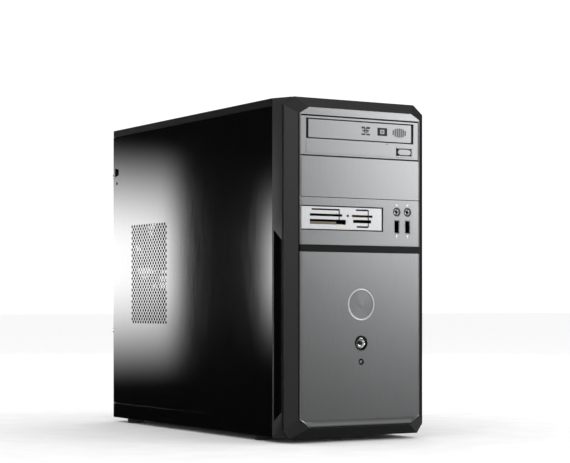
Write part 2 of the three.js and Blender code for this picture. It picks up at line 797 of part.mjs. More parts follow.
function addPowerSupply() {
  const half = psuWidth / 2;
  const outer = block([-half, half], [psuFrontY, psuRearY], [psuBottomZ, psuTopZ]);
  const inner = block(
    [-half + psuWall, half - psuWall],
    [psuFrontY + psuWall, psuRearY - psuWall],
    [psuBottomZ + psuWall, psuTopZ - psuWall],
  );
  const tools = [
    inner,
    rod('y', psuFanDiameter - 3, psuRearY - 3, psuRearY + 1, [psuFanX, psuFanZ], 32),
    block(
      [inletX - inlet.width / 2 - gap, inletX + inlet.width / 2 + gap],
      [psuRearY - 3, psuRearY + 1],
      [inletZ - inlet.height / 2 - gap, inletZ + inlet.height / 2 + gap],
    ),
    block(
      [inletX - rocker.width / 2 - 0.6, inletX + rocker.width / 2 + 0.6],
      [psuRearY - 3, psuRearY + 1],
      [rockerZ - rocker.height / 2 - 0.6, rockerZ + rocker.height / 2 + 0.6],
    ),
    rod('y', 16, psuFrontY - 1, psuFrontY + 3, [half - 25, psuBottomZ + 22], 16),
  ];
  const slits = 8;
  for (let i = 0; i < slits; i += 1) {
    const x = -half + 14 + i * 9;
    tools.push(block([x, x + 4], [psuFrontY - 1, psuFrontY + 3], [psuBottomZ + 18, psuTopZ - 18]));
  }
  addPart('psu_case', cut(outer, tools), zincSteel);

  const rotor = fanRotor(psuFanDiameter, -15, 0);
  const spin = addPart('psu_fan_rotor', rotor, blackPlastic);
  spin.position.set(psuFanX, psuRearY - 4, psuFanZ);
  spin.rotation.x = -Math.PI / 2;

  addFanGuard();
  addInlet();
  addRocker();
}

// The wire guard over the fan: rings on two crossed wires, held at four feet.
function addFanGuard() {
  const wire = 1.8;
  const y = psuRearY + gap + wire / 2;
  const rings = [0.19, 0.43, 0.67, 0.91].map((share) => {
    const ring = new THREE.TorusGeometry((psuFanDiameter / 2) * share, wire / 2, 4, 20);
    ring.rotateX(Math.PI / 2);
    ring.translate(psuFanX, y, psuFanZ);
    return solid(ring);
  });
  const reach = psuFanDiameter / 2 + 7;
  const crosses = [1, -1].map((sign) => {
    const bar = new THREE.CylinderGeometry(wire / 2, wire / 2, 2 * reach, 4);
    bar.rotateZ((sign * Math.PI) / 4);
    const standing = new THREE.Matrix4().makeRotationX(Math.PI / 2);
    bar.applyMatrix4(standing);
    bar.translate(psuFanX, y, psuFanZ);
    return solid(bar);
  });
  addPart('psu_fan_guard', join([...rings, ...crosses]), chrome);
}

function addInlet() {
  const half = inlet.width / 2;
  const tall = inlet.height / 2;
  const y1 = psuRearY + 1.2;
  const corner = 5;
  const mouth = [
    [inletX - half + 2, inletZ - tall + 2],
    [inletX + half - 2, inletZ - tall + 2],
    [inletX + half - 2, inletZ + tall - 2 - corner],
    [inletX + half - 2 - corner, inletZ + tall - 2],
    [inletX - half + 2 + corner, inletZ + tall - 2],
    [inletX - half + 2, inletZ + tall - 2 - corner],
  ];
  const y0 = psuRearY - inlet.depth;
  let body = block([inletX - half, inletX + half], [y0, y1], [inletZ - tall, inletZ + tall]);
  body = body.subtract(platePoints(mouth, [y0 + 2, y1 + 1]));
  const blades = [[-7, -1], [0, 3], [7, -1]].map(([x, z]) => block(
    [inletX + x - 1, inletX + x + 1],
    [y0 + 1, psuRearY - 1],
    [inletZ + z - 2, inletZ + z + 2],
  ));
  addPart('psu_inlet', join([body, ...blades]), blackPlastic);
}

// The rocker turns about X; local origin on its pivot.
function addRocker() {
  const half = rocker.width / 2;
  const tall = rocker.height / 2 - 0.8;
  const outline = [
    [-rocker.depth / 2, -2],
    [4, -tall],
    [5.4, -tall],
    [4.2, 0],
    [5.4, tall],
    [4, tall],
    [-rocker.depth / 2, 2],
  ];
  const rockerPart = addPart('psu_switch', sidePlate(outline, [-half, half]), blackPlastic);
  rockerPart.position.set(inletX, psuRearY - 3, rockerZ);
  rockerPart.rotation.x = THREE.MathUtils.degToRad(rocker.tilt);
}

// ---------------------------------------------------------------- drive cages and drives

const cageY0 = frontPlateRear + gap;
const readerCageX0 = readerX0 - 0.5;
const readerCageX1 = readerX1 + 0.5;
const diskTop = readerBottom - diskDrop;
const diskBottom = diskTop - diskHeight;
const diskY0 = cageY0 + 6;

function addOpticalBayCage() {
  const length = driveDepth - 30;
  const y = [cageY0, cageY0 + length];
  const roof = topZ - sheet - 2.5;
  const pieces = [
    block([-cageX - sheet, cageX + sheet], y, [roof - sheet, roof]),
    block([-cageX - sheet, -cageX], y, [spareBottom, roof]),
    block([cageX, cageX + sheet], y, [spareBottom, roof]),
    block([-cageX - sheet, cageX + sheet], y, [spareBottom - sheet, spareBottom]),
  ];
  const windows = [0.18, 0.6].map((share) => block(
    [-cageX - 2, cageX + 2],
    [cageY0 + length * share, cageY0 + length * share + 28],
    [spareBottom + 12, spareBottom + 30],
  ));
  addPart('optical_bay_cage', cut(join(pieces), windows), zincSteel);
}

function addDiskCage() {
  const y = [cageY0, cageY0 + diskLength + 10];
  const top = spareBottom - sheet - gap;
  const bottom = diskBottom - 3;
  const pieces = [
    block([readerCageX0 - sheet, readerCageX1 + sheet], y, [bottom - sheet, bottom]),
    block([readerCageX0 - sheet, readerCageX0], y, [bottom, top]),
    block([readerCageX1, readerCageX1 + sheet], y, [bottom, top]),
  ];
  const windows = [0.15, 0.55].map((share) => block(
    [readerCageX0 - 2, readerCageX1 + 2],
    [cageY0 + diskLength * share, cageY0 + diskLength * share + 40],
    [diskTop + 5, readerBottom - 5],
  ));
  addPart('disk_cage', cut(join(pieces), windows), zincSteel);
}

function addHardDrive() {
  const x = [readerX0 + (readerWidth - diskWidth) / 2, readerX0 + (readerWidth + diskWidth) / 2];
  const y = [diskY0, diskY0 + diskLength];
  const body = block(x, y, [diskBottom, diskTop]);
  const middle = (x[0] + x[1]) / 2;
  const tools = [
    rod('z', 88, diskTop - 1.2, diskTop + 1, [middle, diskY0 + 54], 32),
    block([x[0] + 8, x[1] - 8], [diskY0 + 108, diskY0 + 136], [diskTop - 1.2, diskTop + 1]),
    block([x[0] + 4, x[1] - 4], [y[0] + 4, y[1] - 4], [diskBottom - 1, diskBottom + 5]),
  ];
  addPart('hard_drive', cut(body, tools), castAluminium);
}

function addCardReader() {
  const faceY = frontY + 1;
  const slots = [
    { x0: -60.7, x1: -26.6, z0: 2.9, z1: 4.4, deep: 14 },
    { x0: -62.9, x1: -23.2, z0: 8.2, z1: 10.6, deep: 22 },
    { x0: -62.9, x1: -18.7, z0: 14, z1: 19, deep: 36 },
    { x0: -5.9, x1: 9.4, z0: 2.5, z1: 4, deep: 12 },
    { x0: -10.9, x1: 15, z0: 8.5, z1: 10.8, deep: 22 },
    { x0: -9.3, x1: 13.3, z0: 13.6, z1: 16.8, deep: 22 },
    { x0: -4.8, x1: 9.4, z0: 20.1, z1: 21.7, deep: 12 },
  ];
  const tools = slots.map(({ x0, x1, z0, z1, deep }) => block(
    [x0, x1], [faceY - 1, faceY + deep], [readerTop - z1, readerTop - z0],
  ));
  const body = block([readerX0, readerX1], [faceY, faceY + readerDepth], [readerBottom, readerTop]);
  const hollow = block(
    [readerX0 + 2, readerX1 - 2],
    [faceY + 44, faceY + readerDepth - 2],
    [readerBottom + 2, readerTop + 1],
  );
  addPart('card_reader', cut(body, [...tools, hollow]), brightPlastic);
}

function addOpticalDrive() {
  const half = driveWidth / 2;
  const z = [driveZ0, driveZ0 + driveHeight];
  const shell = cut(block([-half, half], [driveFrontY, driveRearY], z), [
    block([-half + 1.5, half - 1.5], [driveFrontY - 1, driveRearY - 1.5], [z[0] + 1.5, z[1] - 1.5]),
  ]);
  addPart('optical_drive', shell, zincSteel);

  const faceHalf = driveFace.width / 2;
  const centreZ = (bayTop + spareTop) / 2;
  const faceZ = [centreZ - driveFace.height / 2, centreZ + driveFace.height / 2];
  const doorGap = 0.4;
  const face = cut(block([-faceHalf, faceHalf], [driveFaceY, driveFaceY + driveFace.thickness], faceZ), [
    block(
      [-trayDoor.halfWidth - doorGap, trayDoor.halfWidth + doorGap],
      [driveFaceY - 1, driveFrontY],
      [bayTop - trayDoor.bottom - doorGap, bayTop - trayDoor.top + doorGap],
    ),
    block(
      [ejectButton.x0 - 0.35, ejectButton.x1 + 0.35],
      [driveFaceY - 1, driveFrontY],
      [bayTop - ejectButton.bottom - 0.35, bayTop - ejectButton.top + 0.35],
    ),
    rod('y', 1.4, driveFaceY - 1, driveFrontY, [28, bayTop - 33.7], 10),
  ]);
  addPart('drive_face', face, silverPlastic);

  const doorBack = driveFaceY + 3.6;
  const trayZ1 = bayTop - 13.5;
  const tray = join([
    block(
      [-trayDoor.halfWidth, trayDoor.halfWidth],
      [driveFaceY, doorBack],
      [bayTop - trayDoor.bottom, bayTop - trayDoor.top],
    ),
    block(
      [-trayPlate.halfWidth, trayPlate.halfWidth],
      [doorBack - 0.5, doorBack + trayPlate.length],
      [trayZ1 - trayPlate.thickness, trayZ1],
    ),
  ]);
  const discY = doorBack + 5 + discDiameter / 2;
  addPart('disc_tray', cut(tray, [
    rod('z', discDiameter, trayZ1 - 1.6, trayZ1 + 1, [0, discY], 40),
    rod('z', 36, trayZ1 - trayPlate.thickness - 1, trayZ1 + 1, [0, discY + 12], 24),
  ]), blackPlastic);

  const radius = (ejectButton.bottom - ejectButton.top) / 2;
  const ejectZ = bayTop - ejectButton.top - radius;
  const ejectY = [driveFaceY - 0.4, driveFaceY + 3];
  const button = join([
    block([ejectButton.x0 + radius, ejectButton.x1 - radius], ejectY, [ejectZ - radius, ejectZ + radius]),
    rod('y', 2 * radius, ...ejectY, [ejectButton.x0 + radius, ejectZ], 16),
    rod('y', 2 * radius, ...ejectY, [ejectButton.x1 - radius, ejectZ], 16),
  ]);
  addPart('eject_button', button, silverPlastic);
}

// ---------------------------------------------------------------- bezel and facings

const snapArmX = cageX + sheet + 2.6;

function bezelPocket(side) {
  const x = [side * (halfWidth - pocket.depth), side * (halfWidth + 1)].sort((a, b) => a - b);
  return sidePlate([
    [frontY + pocket.front, pocket.bottom + pocket.slope],
    [frontY + pocket.rear, pocket.bottom],
    [frontY + pocket.rear, pocket.top],
    [frontY + pocket.front, pocket.top - pocket.slope],
  ], x);
}

function addBezel() {
  const faceHalf = halfWidth - faceInset.side;
  const faceOutline = clipped(
    faceHalf, baseZ + faceInset.bottom, topZ - faceInset.top,
    { x: facingClipTop.x + 0.5, z: facingClipTop.z + 0.5 },
    { x: facingClipBottom.x + 0.5, z: facingClipBottom.z + 0.5 },
  );
  const rearClip = { x: 1, z: 1 };
  const outer = hull([
    { y: frontY + faceRecess, outline: faceOutline },
    { y: frontY + bezelChamfer, outline: clipped(halfWidth, baseZ, topZ, outerClipTop, outerClipBottom) },
    { y: frontY + bezelDepth, outline: clipped(halfWidth, baseZ, topZ, rearClip, rearClip) },
  ]);
  const thin = bezelWall;
  const innerFace = clipped(
    faceHalf - 1, baseZ + faceInset.bottom + 1, topZ - faceInset.top - 1, facingClipTop, facingClipBottom,
  );
  const innerHigh = clipped(halfWidth - thin, baseZ + thin, topZ - thin, outerClipTop, outerClipBottom);
  const innerRear = clipped(halfWidth - thin, baseZ + thin, topZ - thin, rearClip, rearClip);
  const hollow = hull([
    { y: bezelWallBack, outline: innerFace },
    { y: frontY + bezelChamfer + thin, outline: innerHigh },
    { y: frontY + bezelDepth + 1, outline: innerRear },
  ]);
  const floorX = halfWidth - pocket.depth - 2.4;
  const pocketBacks = [-1, 1].map((side) => block(
    side > 0 ? [floorX, halfWidth - 1] : [-halfWidth + 1, -floorX],
    [frontY + pocket.front - 2.4, frontY + bezelDepth],
    [pocket.bottom - 2.4, pocket.top + 2.4],
  ));
  const armTip = frontPlateRear + snapArm.reach;
  const arms = [-1, 1].flatMap((side) => snapArmHeights.flatMap((z) => {
    const near = side * (snapArmX - snapArm.thickness / 2);
    const far = side * (snapArmX + snapArm.thickness / 2);
    const wide = side * (halfWidth - 1);
    const span = [z - snapArm.height / 2, z + snapArm.height / 2];
    const sorted = (a, b) => [Math.min(a, b), Math.max(a, b)];
    return [
      block(sorted(near, far), [frontY + bezelChamfer + 8, armTip], span),
      block(sorted(near, wide), [frontY + bezelChamfer + 8, frontY + bezelDepth - 3], span),
    ];
  }));
  const facings = platePoints(
    clipped(facingHalf + gap, facingBottom - gap, facingTop + gap, facingClipTop, facingClipBottom),
    [frontY - 1, bezelWallFront],
  );
  const through = [frontY - 1, bezelWallBack + 1];
  const windows = [
    block([-driveOpening, driveOpening], through, [spareTop, bayTop]),
    block([-facingHalf + 4, facingHalf - 4], through, [spareBottom + 4, spareTop - 4]),
    block([readerX0 - gap, readerX1 + gap], through, [readerBottom - gap, readerTop + gap]),
    block([portColumns[0] - 7, portColumns[1] + 7], through, [readerBottom - 4, readerTop + 2]),
    rod('y', buttonRingDiameter + 2 * gap, ...through, [0, buttonZ], 28),
    rod('y', lightDiameter + 2 * gap, ...through, [0, lightZ], 16),
  ];
  const bezel = cut(join([cut(outer, [hollow]), ...pocketBacks, ...arms]), [
    bezelPocket(-1), bezelPocket(1), facings, ...windows,
  ]);
  addPart('front_bezel', bezel, blackPlastic);
}

function facing(name, bottom, top, tools, material) {
  const whole = platePoints(
    clipped(facingHalf, facingBottom, facingTop, facingClipTop, facingClipBottom),
    [frontY, facingBack],
  );
  const band = block([-halfWidth, halfWidth], [frontY - 1, facingBack + 1], [bottom, top]);
  addPart(name, cut(whole.intersect(band), tools), material);
}

function addFacings() {
  const through = [frontY - 1, facingBack + 1];
  // the top trim has two narrow legs that run down beside the drive's face
  facing('top_trim', spareTop + seam, facingTop + 1, [
    block([-driveOpening, driveOpening], through, [spareTop, bayTop + seam]),
  ], silverPlastic);
  facing('port_panel', stripTop + seam, spareBottom - seam, [
    block([readerX0 - gap, readerX1 + gap], through, [readerBottom - gap, readerTop + gap]),
    ...portColumns.flatMap((x) => [
      rod('y', jackDiameter + 2 * gap, ...through, [x, jackZ], 20),
      block(
        [x - usbShell.width / 2 - gap, x + usbShell.width / 2 + gap],
        through,
        [usbZ - usbShell.height / 2 - gap, usbZ + usbShell.height / 2 + gap],
      ),
    ]),
  ], silverPlastic);
  facing('trim_strip', stripBottom + seam, stripTop - seam, [], blackPlastic);
  facing('lower_panel', facingBottom - 1, stripBottom - seam, [
    rod('y', badgeDiameter + 2 * gap, frontY - 1, frontY + badgeThickness + gap, [0, badgeZ], 36),
    rod('y', buttonRingDiameter + 2 * gap, ...through, [0, buttonZ], 28),
    rod('y', lightDiameter + 2 * gap, ...through, [0, lightZ], 16),
  ], silverPlastic);

  // the spare bay's cover has two side arms that plug into the bay
  const z = [spareBottom + seam, spareTop - seam];
  const arm = facingHalf - 4 - gap;
  const cover = join([
    block([-facingHalf, facingHalf], [frontY, facingBack], z),
    ...[-1, 1].map((side) => block(
      side > 0 ? [arm - 2, arm] : [-arm, -arm + 2],
      [facingBack - 0.5, bezelWallBack + 12],
      [z[0] + 8, z[1] - 8],
    )),
  ]);
  addPart('blank_bay_cover', cover, silverPlastic);

  const badge = rod('y', badgeDiameter, frontY, frontY + badgeThickness, [0, badgeZ], 36);
  addPart('badge', badge, brightPlastic);
}

function addPowerButton() {
  const ring = cut(rod('y', buttonRingDiameter, frontY, bezelWallBack, [0, buttonZ], 28), [
    rod('y', buttonDiameter + 0.8, frontY - 1, bezelWallBack + 1, [0, buttonZ], 24),
  ]);
  addPart('button_ring', ring, blackPlastic);
  const radius = buttonDiameter / 2;
  const profile = [
    new THREE.Vector2(0, 1.4),
    new THREE.Vector2(radius - 3, 0.9),
    new THREE.Vector2(radius - 1.2, 0.1),
    new THREE.Vector2(radius, 0.6),
    new THREE.Vector2(radius, 6),
    new THREE.Vector2(2.5, 7),
    new THREE.Vector2(2.5, buttonStem),
    new THREE.Vector2(0, buttonStem),
  ];
  const cap = addPart('power_button', solid(new THREE.LatheGeometry(profile, 24)), chrome);
  cap.position.set(0, frontY + gap, buttonZ);

  const stemEnd = frontY + gap + buttonStem;
  const plungerFront = stemEnd + buttonTravel + 0.6;
  const board = join([
    block([-9, 9], [plungerFront + 4, chassisFrontY - gap], [buttonZ - 9, buttonZ + 9]),
    rod('y', 3.5, plungerFront, plungerFront + 5, [0, buttonZ], 12),
  ]);
  addPart('power_switch', board, boardGreen);

  const pipe = rod('y', lightDiameter, frontY + 0.1, frontY + 20, [0, lightZ], 16);
  addPart('activity_light', pipe, lens);
}

function addFrontPorts() {
  const y0 = frontY + 0.4;
  const jackNames = ['headphone_jack', 'microphone_jack'];
  const usbNames = ['usb_port_left', 'usb_port_right'];
  portColumns.forEach((x, i) => {
    const jack = cut(join([
      rod('y', jackDiameter, y0, y0 + jackBody.front + 0.5, [x, jackZ], 20),
      block(
        [x - jackBody.width / 2, x + jackBody.width / 2],
        [y0 + jackBody.front, y0 + jackBody.rear],
        [jackZ - jackBody.height / 2, jackZ + jackBody.height / 2],
      ),
    ]), [rod('y', jackBore, y0 - 1, y0 + 15, [x, jackZ], 16)]);
    addPart(jackNames[i], jack, blackPlastic);
    const half = usbShell.width / 2;
    const tall = usbShell.height / 2;
    const shell = join([
      cut(block([x - half, x + half], [y0, y0 + usbShell.depth], [usbZ - tall, usbZ + tall]), [block(
        [x - half + usbShell.wall, x + half - usbShell.wall],
        [y0 - 1, y0 + usbShell.depth - 1],
        [usbZ - tall + usbShell.wall, usbZ + tall - usbShell.wall],
      )]),
      block(
        [x - half + usbShell.wall - 0.1, x - half + 2.1],
        [y0 + 1.2, y0 + usbShell.depth],
        [usbZ - tall + 1.2, usbZ + tall - 1.2],
      ),
    ]);
    addPart(usbNames[i], shell, zincSteel);
  });
}

// ---------------------------------------------------------------- internal cables

function cable(points, width, sides) {
  const route = new THREE.CatmullRomCurve3(points.map(([x, y, z]) => new THREE.Vector3(x, y, z)));
  const section = new THREE.Shape();
  for (let i = 0; i < sides; i += 1) {
    const angle = (i / sides) * 2 * Math.PI;
    const x = (width / 2) * Math.cos(angle);
    const y = (width / 2) * Math.sin(angle);
    if (i === 0) {
      section.moveTo(x, y);
    } else {
      section.lineTo(x, y);
    }
  }
  section.closePath();
  const steps = Math.min(60, Math.ceil(route.getLength() / (2.5 * width)) + 2);
  return solid(new THREE.ExtrudeGeometry(section, { steps, bevelEnabled: false, extrudePath: route }));
}

function addCables() {
  // from the supply's cable mouth down to the board's power socket
  const mouthX = psuWidth / 2 - 25;
  const mouthZ = psuBottomZ + 22;
  const plugY = boardFrontY + 10;
  const plugZ = boardTop - 54;
  addPart('psu_harness', cable([
    [mouthX, psuFrontY - 1.5, mouthZ],
    [mouthX, psuFrontY - 14, mouthZ - 2],
    [mouthX - 4, psuFrontY - 34, mouthZ - 24],
    [mouthX - 8, plugY + 22, boardTop - 10],
    [mouthX - 8, plugY + 6, plugZ + 16],
    [mouthX - 4, plugY, plugZ],
    [boardFace - 13, plugY, plugZ],
  ], 12, 10), cableJacket);
  // from the hard drive's rear to the board's data socket
  const diskX = readerX0 + readerWidth - 30;
  const diskZ = diskBottom + 8;
  const dataZ = boardZ + 47;
  addPart('sata_cable', cable([
    [diskX, diskY0 + diskLength + 1, diskZ],
    [diskX, diskY0 + diskLength + 9, diskZ],
    [diskX + 6, diskY0 + diskLength + 16, diskZ - 22],
    [diskX + 14, boardFrontY + 12, dataZ + 30],
    [diskX + 26, boardFrontY + 12, dataZ + 6],
    [boardFace - 20, boardFrontY + 12, dataZ],
    [boardFace - 10, boardFrontY + 12, dataZ],
  ], 6, 8), cableJacket);
  // from the front ports down behind the front plate to the board's header
  const portX = (portColumns[0] + portColumns[1]) / 2;
  addPart('front_lead', cable([
    [portX, frontY + 20, usbZ],
    [portX, frontPlateRear + 12, usbZ - 1],
    [portX + 6, frontPlateRear + 30, usbZ - 24],
    [portX + 8, frontPlateRear + 46, 120],
    [portX + 6, frontPlateRear + 70, 60],
    [boardFace - 16, boardFrontY + 20, boardZ + 22],
    [boardFace - 14, boardFrontY + 34, boardZ + 19],
    [boardFace - 9, boardFrontY + 34, boardZ + 19],
  ], 5, 8), cableJacket);
}

// ---------------------------------------------------------------- assembly

addFeet();
addBasePan();
addTopCover();
addSideCovers();
addFrontPlate();
addRearPanel();
addPadlockLoop();
addThumbscrews();
addSlotCovers();
addCardLatch();
addMotherboardTray();
addMainBoard();
addMemory();
addCooler();
addCpuFan();
addRearFan();
addRearPorts();
addPowerSupply();
addOpticalBayCage();
addDiskCage();
addHardDrive();
addCardReader();
addOpticalDrive();
addBezel();
addFacings();
addPowerButton();
addFrontPorts();
addCables();

export default group;
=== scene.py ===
# Looks for the desktop computer tower: black steel covers, moulded bezel, silver facings, and
# everything behind them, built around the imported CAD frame. Lengths are millimetres until a piece
# is finished, which turns it to metres.
import json
import math

import bmesh
import bpy
from mathutils import Matrix, Vector


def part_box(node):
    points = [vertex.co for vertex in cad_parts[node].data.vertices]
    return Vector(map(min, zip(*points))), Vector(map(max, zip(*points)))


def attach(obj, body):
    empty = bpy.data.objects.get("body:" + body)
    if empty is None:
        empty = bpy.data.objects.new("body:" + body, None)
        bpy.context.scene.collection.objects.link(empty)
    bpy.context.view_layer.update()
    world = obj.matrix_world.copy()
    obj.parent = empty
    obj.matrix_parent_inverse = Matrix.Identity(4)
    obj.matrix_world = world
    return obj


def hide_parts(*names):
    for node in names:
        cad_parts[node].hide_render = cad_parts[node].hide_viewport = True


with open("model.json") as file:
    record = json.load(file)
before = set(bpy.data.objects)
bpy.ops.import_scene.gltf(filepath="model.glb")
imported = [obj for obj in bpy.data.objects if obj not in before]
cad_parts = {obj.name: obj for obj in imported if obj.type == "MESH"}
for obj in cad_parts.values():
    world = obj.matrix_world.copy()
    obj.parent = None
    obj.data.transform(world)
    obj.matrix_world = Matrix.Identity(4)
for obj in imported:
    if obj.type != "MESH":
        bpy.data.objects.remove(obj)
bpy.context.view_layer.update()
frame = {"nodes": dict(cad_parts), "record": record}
mm = 0.001
openings = {o["name"]: o["box_m"] for o in frame["record"]["physics"]["openings"]}
print("frame loaded,", len(frame["nodes"]), "nodes")


def cadBox(node):
    low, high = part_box(node)
    return low / mm, high / mm


def openingBox(name):
    low, high = openings[name]
    return Vector(low) / mm, Vector(high) / mm


# ---- camera and stage

cameraSetup = {"place": (-0.98342, -1.69721, 0.14137), "turn": -31.0017, "lens": 106.42, "shift": 0.13264}
camera = bpy.data.objects.new("camera", bpy.data.cameras.new("camera"))
camera.location = cameraSetup["place"]
camera.rotation_euler = (math.radians(90), 0, math.radians(cameraSetup["turn"]))
camera.data.lens = cameraSetup["lens"]
camera.data.sensor_width = 36
camera.data.shift_y = cameraSetup["shift"]
camera.data.clip_start = 0.05
camera.data.clip_end = 100
bpy.context.collection.objects.link(camera)
bpy.context.scene.camera = camera
bpy.context.scene.view_settings.view_transform = "Standard"


# ---- material helpers

def hexColour(code):
    # sRGB hex to linear
    parts = [int(code[i:i + 2], 16) / 255 for i in (1, 3, 5)]
    linear = [p / 12.92 if p <= 0.04045 else ((p + 0.055) / 1.055) ** 2.4 for p in parts]
    return (*linear, 1)


def addNode(material, kind, sockets=None, **settings):
    node = material.node_tree.nodes.new(kind)
    for key, value in settings.items():
        setattr(node, key, value)
    for key, value in (sockets or {}).items():
        if isinstance(value, bpy.types.NodeSocket):
            material.node_tree.links.new(value, node.inputs[key])
        else:
            node.inputs[key].default_value = value
    return node


def newMaterial(name, **sockets):
    material = bpy.data.materials.new(name)
    material.use_nodes = True
    shader = material.node_tree.nodes["Principled BSDF"]
    for key, value in sockets.items():
        shader.inputs[key.replace("_", " ")].default_value = value
    return material, shader


def link(material, source, shader, socket):
    material.node_tree.links.new(source, shader.inputs[socket])


def grainField(material, size):
    # noise whose grains measure size = (x, y, z) millimetres on the object
    place = addNode(material, "ShaderNodeTexCoord")
    scale = [1 / (s * mm) for s in size]
    mapping = addNode(material, "ShaderNodeMapping", {"Vector": place.outputs["Object"], "Scale": scale})
    return addNode(material, "ShaderNodeTexNoise", {
        "Vector": mapping.outputs["Vector"], "Scale": 1.0, "Detail": 2.0,
    }).outputs["Fac"]


def spread(material, field, low, high, span=(0.3, 0.7)):
    # turns a field into numbers from low to high
    return addNode(material, "ShaderNodeMapRange", {
        "Value": field, "From Min": span[0], "From Max": span[1], "To Min": low, "To Max": high,
    }).outputs["Result"]


def blendColours(material, field, dark, light, span=(0.3, 0.7)):
    return addNode(material, "ShaderNodeMix", {
        0: spread(material, field, 0.0, 1.0, span), 6: hexColour(dark), 7: hexColour(light),
    }, data_type="RGBA").outputs[2]


def bump(material, shader, field, height, strength=0.5):
    node = addNode(material, "ShaderNodeBump", {
        "Height": field, "Strength": strength, "Distance": height * mm,
    })
    link(material, node.outputs["Normal"], shader, "Normal")


def grainedFinish(name, dark, light, size, rough, height, strength=0.5, **sockets):
    # a finish with one field: its colour, roughness and bump all follow the same grain
    material, shader = newMaterial(name, **sockets)
    field = grainField(material, size)
    link(material, blendColours(material, field, dark, light), shader, "Base Color")
    link(material, spread(material, field, *rough), shader, "Roughness")
    bump(material, shader, field, height, strength)
    return material


# ---- materials

# baked gloss enamel on rolled steel: near black, sharp reflections broken by a faint upright grain
blackEnamel = grainedFinish(
    "baked_black_enamel", "#050506", "#0a0a0b", (0.8, 0.8, 30), (0.05, 0.085), 0.004, 0.25,
    Specular_IOR_Level=0.3,
)
# satin black enamel on the top and the right side: a broad, soft sheen
satinEnamel = grainedFinish(
    "satin_black_enamel", "#0a0a0b", "#101011", (0.8, 0.8, 0.8), (0.46, 0.54), 0.008, 0.3,
    Specular_IOR_Level=0.12,
)
# injection-moulded ABS with a spark-eroded texture: soft dark grey highlights, no mirror
textureAbs = grainedFinish(
    "moulded_black_abs", "#111112", "#171718", (0.7, 0.7, 0.7), (0.38, 0.46), 0.03, 0.35,
    Specular_IOR_Level=0.5,
)
# smooth moulded black ABS, a little glossier; its darker colour, laid inside recesses, grooves and slot
# walls, is painted shade there
smoothAbsAndShade = grainedFinish(
    "smooth_black_abs_and_painted_shade", "#040405", "#080809", (1.2, 1.2, 1.2), (0.34, 0.44), 0.015, 0.3,
    Specular_IOR_Level=0.25,
)
# silver lacquer over ABS, brushed upright before the clear coat: metal flake under a satin skin
silverLacquer = grainedFinish(
    "brushed_silver_lacquer", "#9d9e9f", "#a4a5a6", (0.5, 0.5, 30), (0.29, 0.33), 0.006, 0.2,
    Metallic=0.97,
)
# the same lacquer, sprayed but not brushed, on the drive's front
silverSpray = grainedFinish(
    "sprayed_silver_lacquer", "#9d9e9f", "#a7a8a9", (0.5, 0.5, 0.5), (0.3, 0.36), 0.012, 0.25,
    Metallic=0.97,
)
# vacuum-plated ABS: bright silver, slightly soft
platedAbs = grainedFinish(
    "plated_bright_abs", "#c6c7c9", "#dadbdc", (0.6, 0.6, 0.6), (0.3, 0.4), 0.01, 0.25,
    Metallic=0.55,
)
# polished chrome plate: mirror with faint handling haze
chromePlate = grainedFinish(
    "polished_chrome", "#d8d9da", "#e6e7e8", (4, 4, 4), (0.06, 0.14), 0.004, 0.2, Metallic=1.0,
)
# silver field of the badge: a face turned in fine rings, with a soft metal sheen
turnedSilver = grainedFinish(
    "turned_silver_disc", "#8b8c8d", "#a0a1a2", (0.5, 0.5, 0.5), (0.28, 0.36), 0.008, 0.3, Metallic=0.9,
)
# piano-gloss black ABS
glossAbs = grainedFinish(
    "gloss_black_abs", "#050506", "#09090a", (3, 3, 3), (0.08, 0.16), 0.004, 0.2, Specular_IOR_Level=0.5,
)
# moulded rubber: dull black with a fine tooth
mouldedRubber = grainedFinish(
    "moulded_rubber", "#101010", "#1b1b1b", (0.5, 0.5, 0.5), (0.7, 0.85), 0.08, 0.5,
)
# nickel plate on contacts and connector shells
nickelPlate = grainedFinish(
    "nickel_plate", "#a9a8a4", "#c0bfbb", (1.5, 1.5, 1.5), (0.2, 0.32), 0.006, 0.25, Metallic=1.0,
)
# gold flash on contacts
goldFlash = grainedFinish(
    "gold_flash", "#b08c45", "#cfae68", (1, 1, 1), (0.22, 0.34), 0.005, 0.2, Metallic=1.0,
)
# epoxy chip bodies: dull dark grey
chipEpoxy = grainedFinish(
    "chip_epoxy", "#141516", "#1d1e1f", (0.4, 0.4, 0.4), (0.5, 0.65), 0.02, 0.4,
)
# extruded and cast aluminium: pale, satin, drawn lines along its length
drawnAluminium = grainedFinish(
    "drawn_aluminium", "#a6a8aa", "#bfc1c3", (0.6, 12, 0.6), (0.28, 0.4), 0.015, 0.3, Metallic=1.0,
)
castAluminium = grainedFinish(
    "cast_aluminium", "#8f9193", "#a9abad", (1.1, 1.1, 1.1), (0.38, 0.52), 0.04, 0.4, Metallic=1.0,
)
# braided and extruded cable jackets
cableJacket = grainedFinish(
    "cable_jacket", "#0d0d0e", "#19191a", (0.8, 0.8, 0.8), (0.5, 0.62), 0.1, 0.6,
)
# nylon connector housings
ivoryNylon = grainedFinish(
    "ivory_nylon", "#cfcabb", "#dedacd", (1.4, 1.4, 1.4), (0.42, 0.52), 0.015, 0.3,
)
# screen-printed inks on plastic: flat, a touch of tooth
paleInk = grainedFinish("pale_ink", "#e4e4e2", "#f2f2f0", (0.3, 0.3, 0.3), (0.6, 0.7), 0.01, 0.3)
greyInk = grainedFinish("grey_ink", "#2e2f30", "#3a3b3c", (0.3, 0.3, 0.3), (0.55, 0.65), 0.01, 0.3)
darkInk = grainedFinish("dark_ink", "#141415", "#1c1c1d", (0.3, 0.3, 0.3), (0.55, 0.65), 0.01, 0.3)
midInk = grainedFinish("mid_grey_ink", "#4a4b4c", "#565758", (0.3, 0.3, 0.3), (0.55, 0.65), 0.01, 0.3)
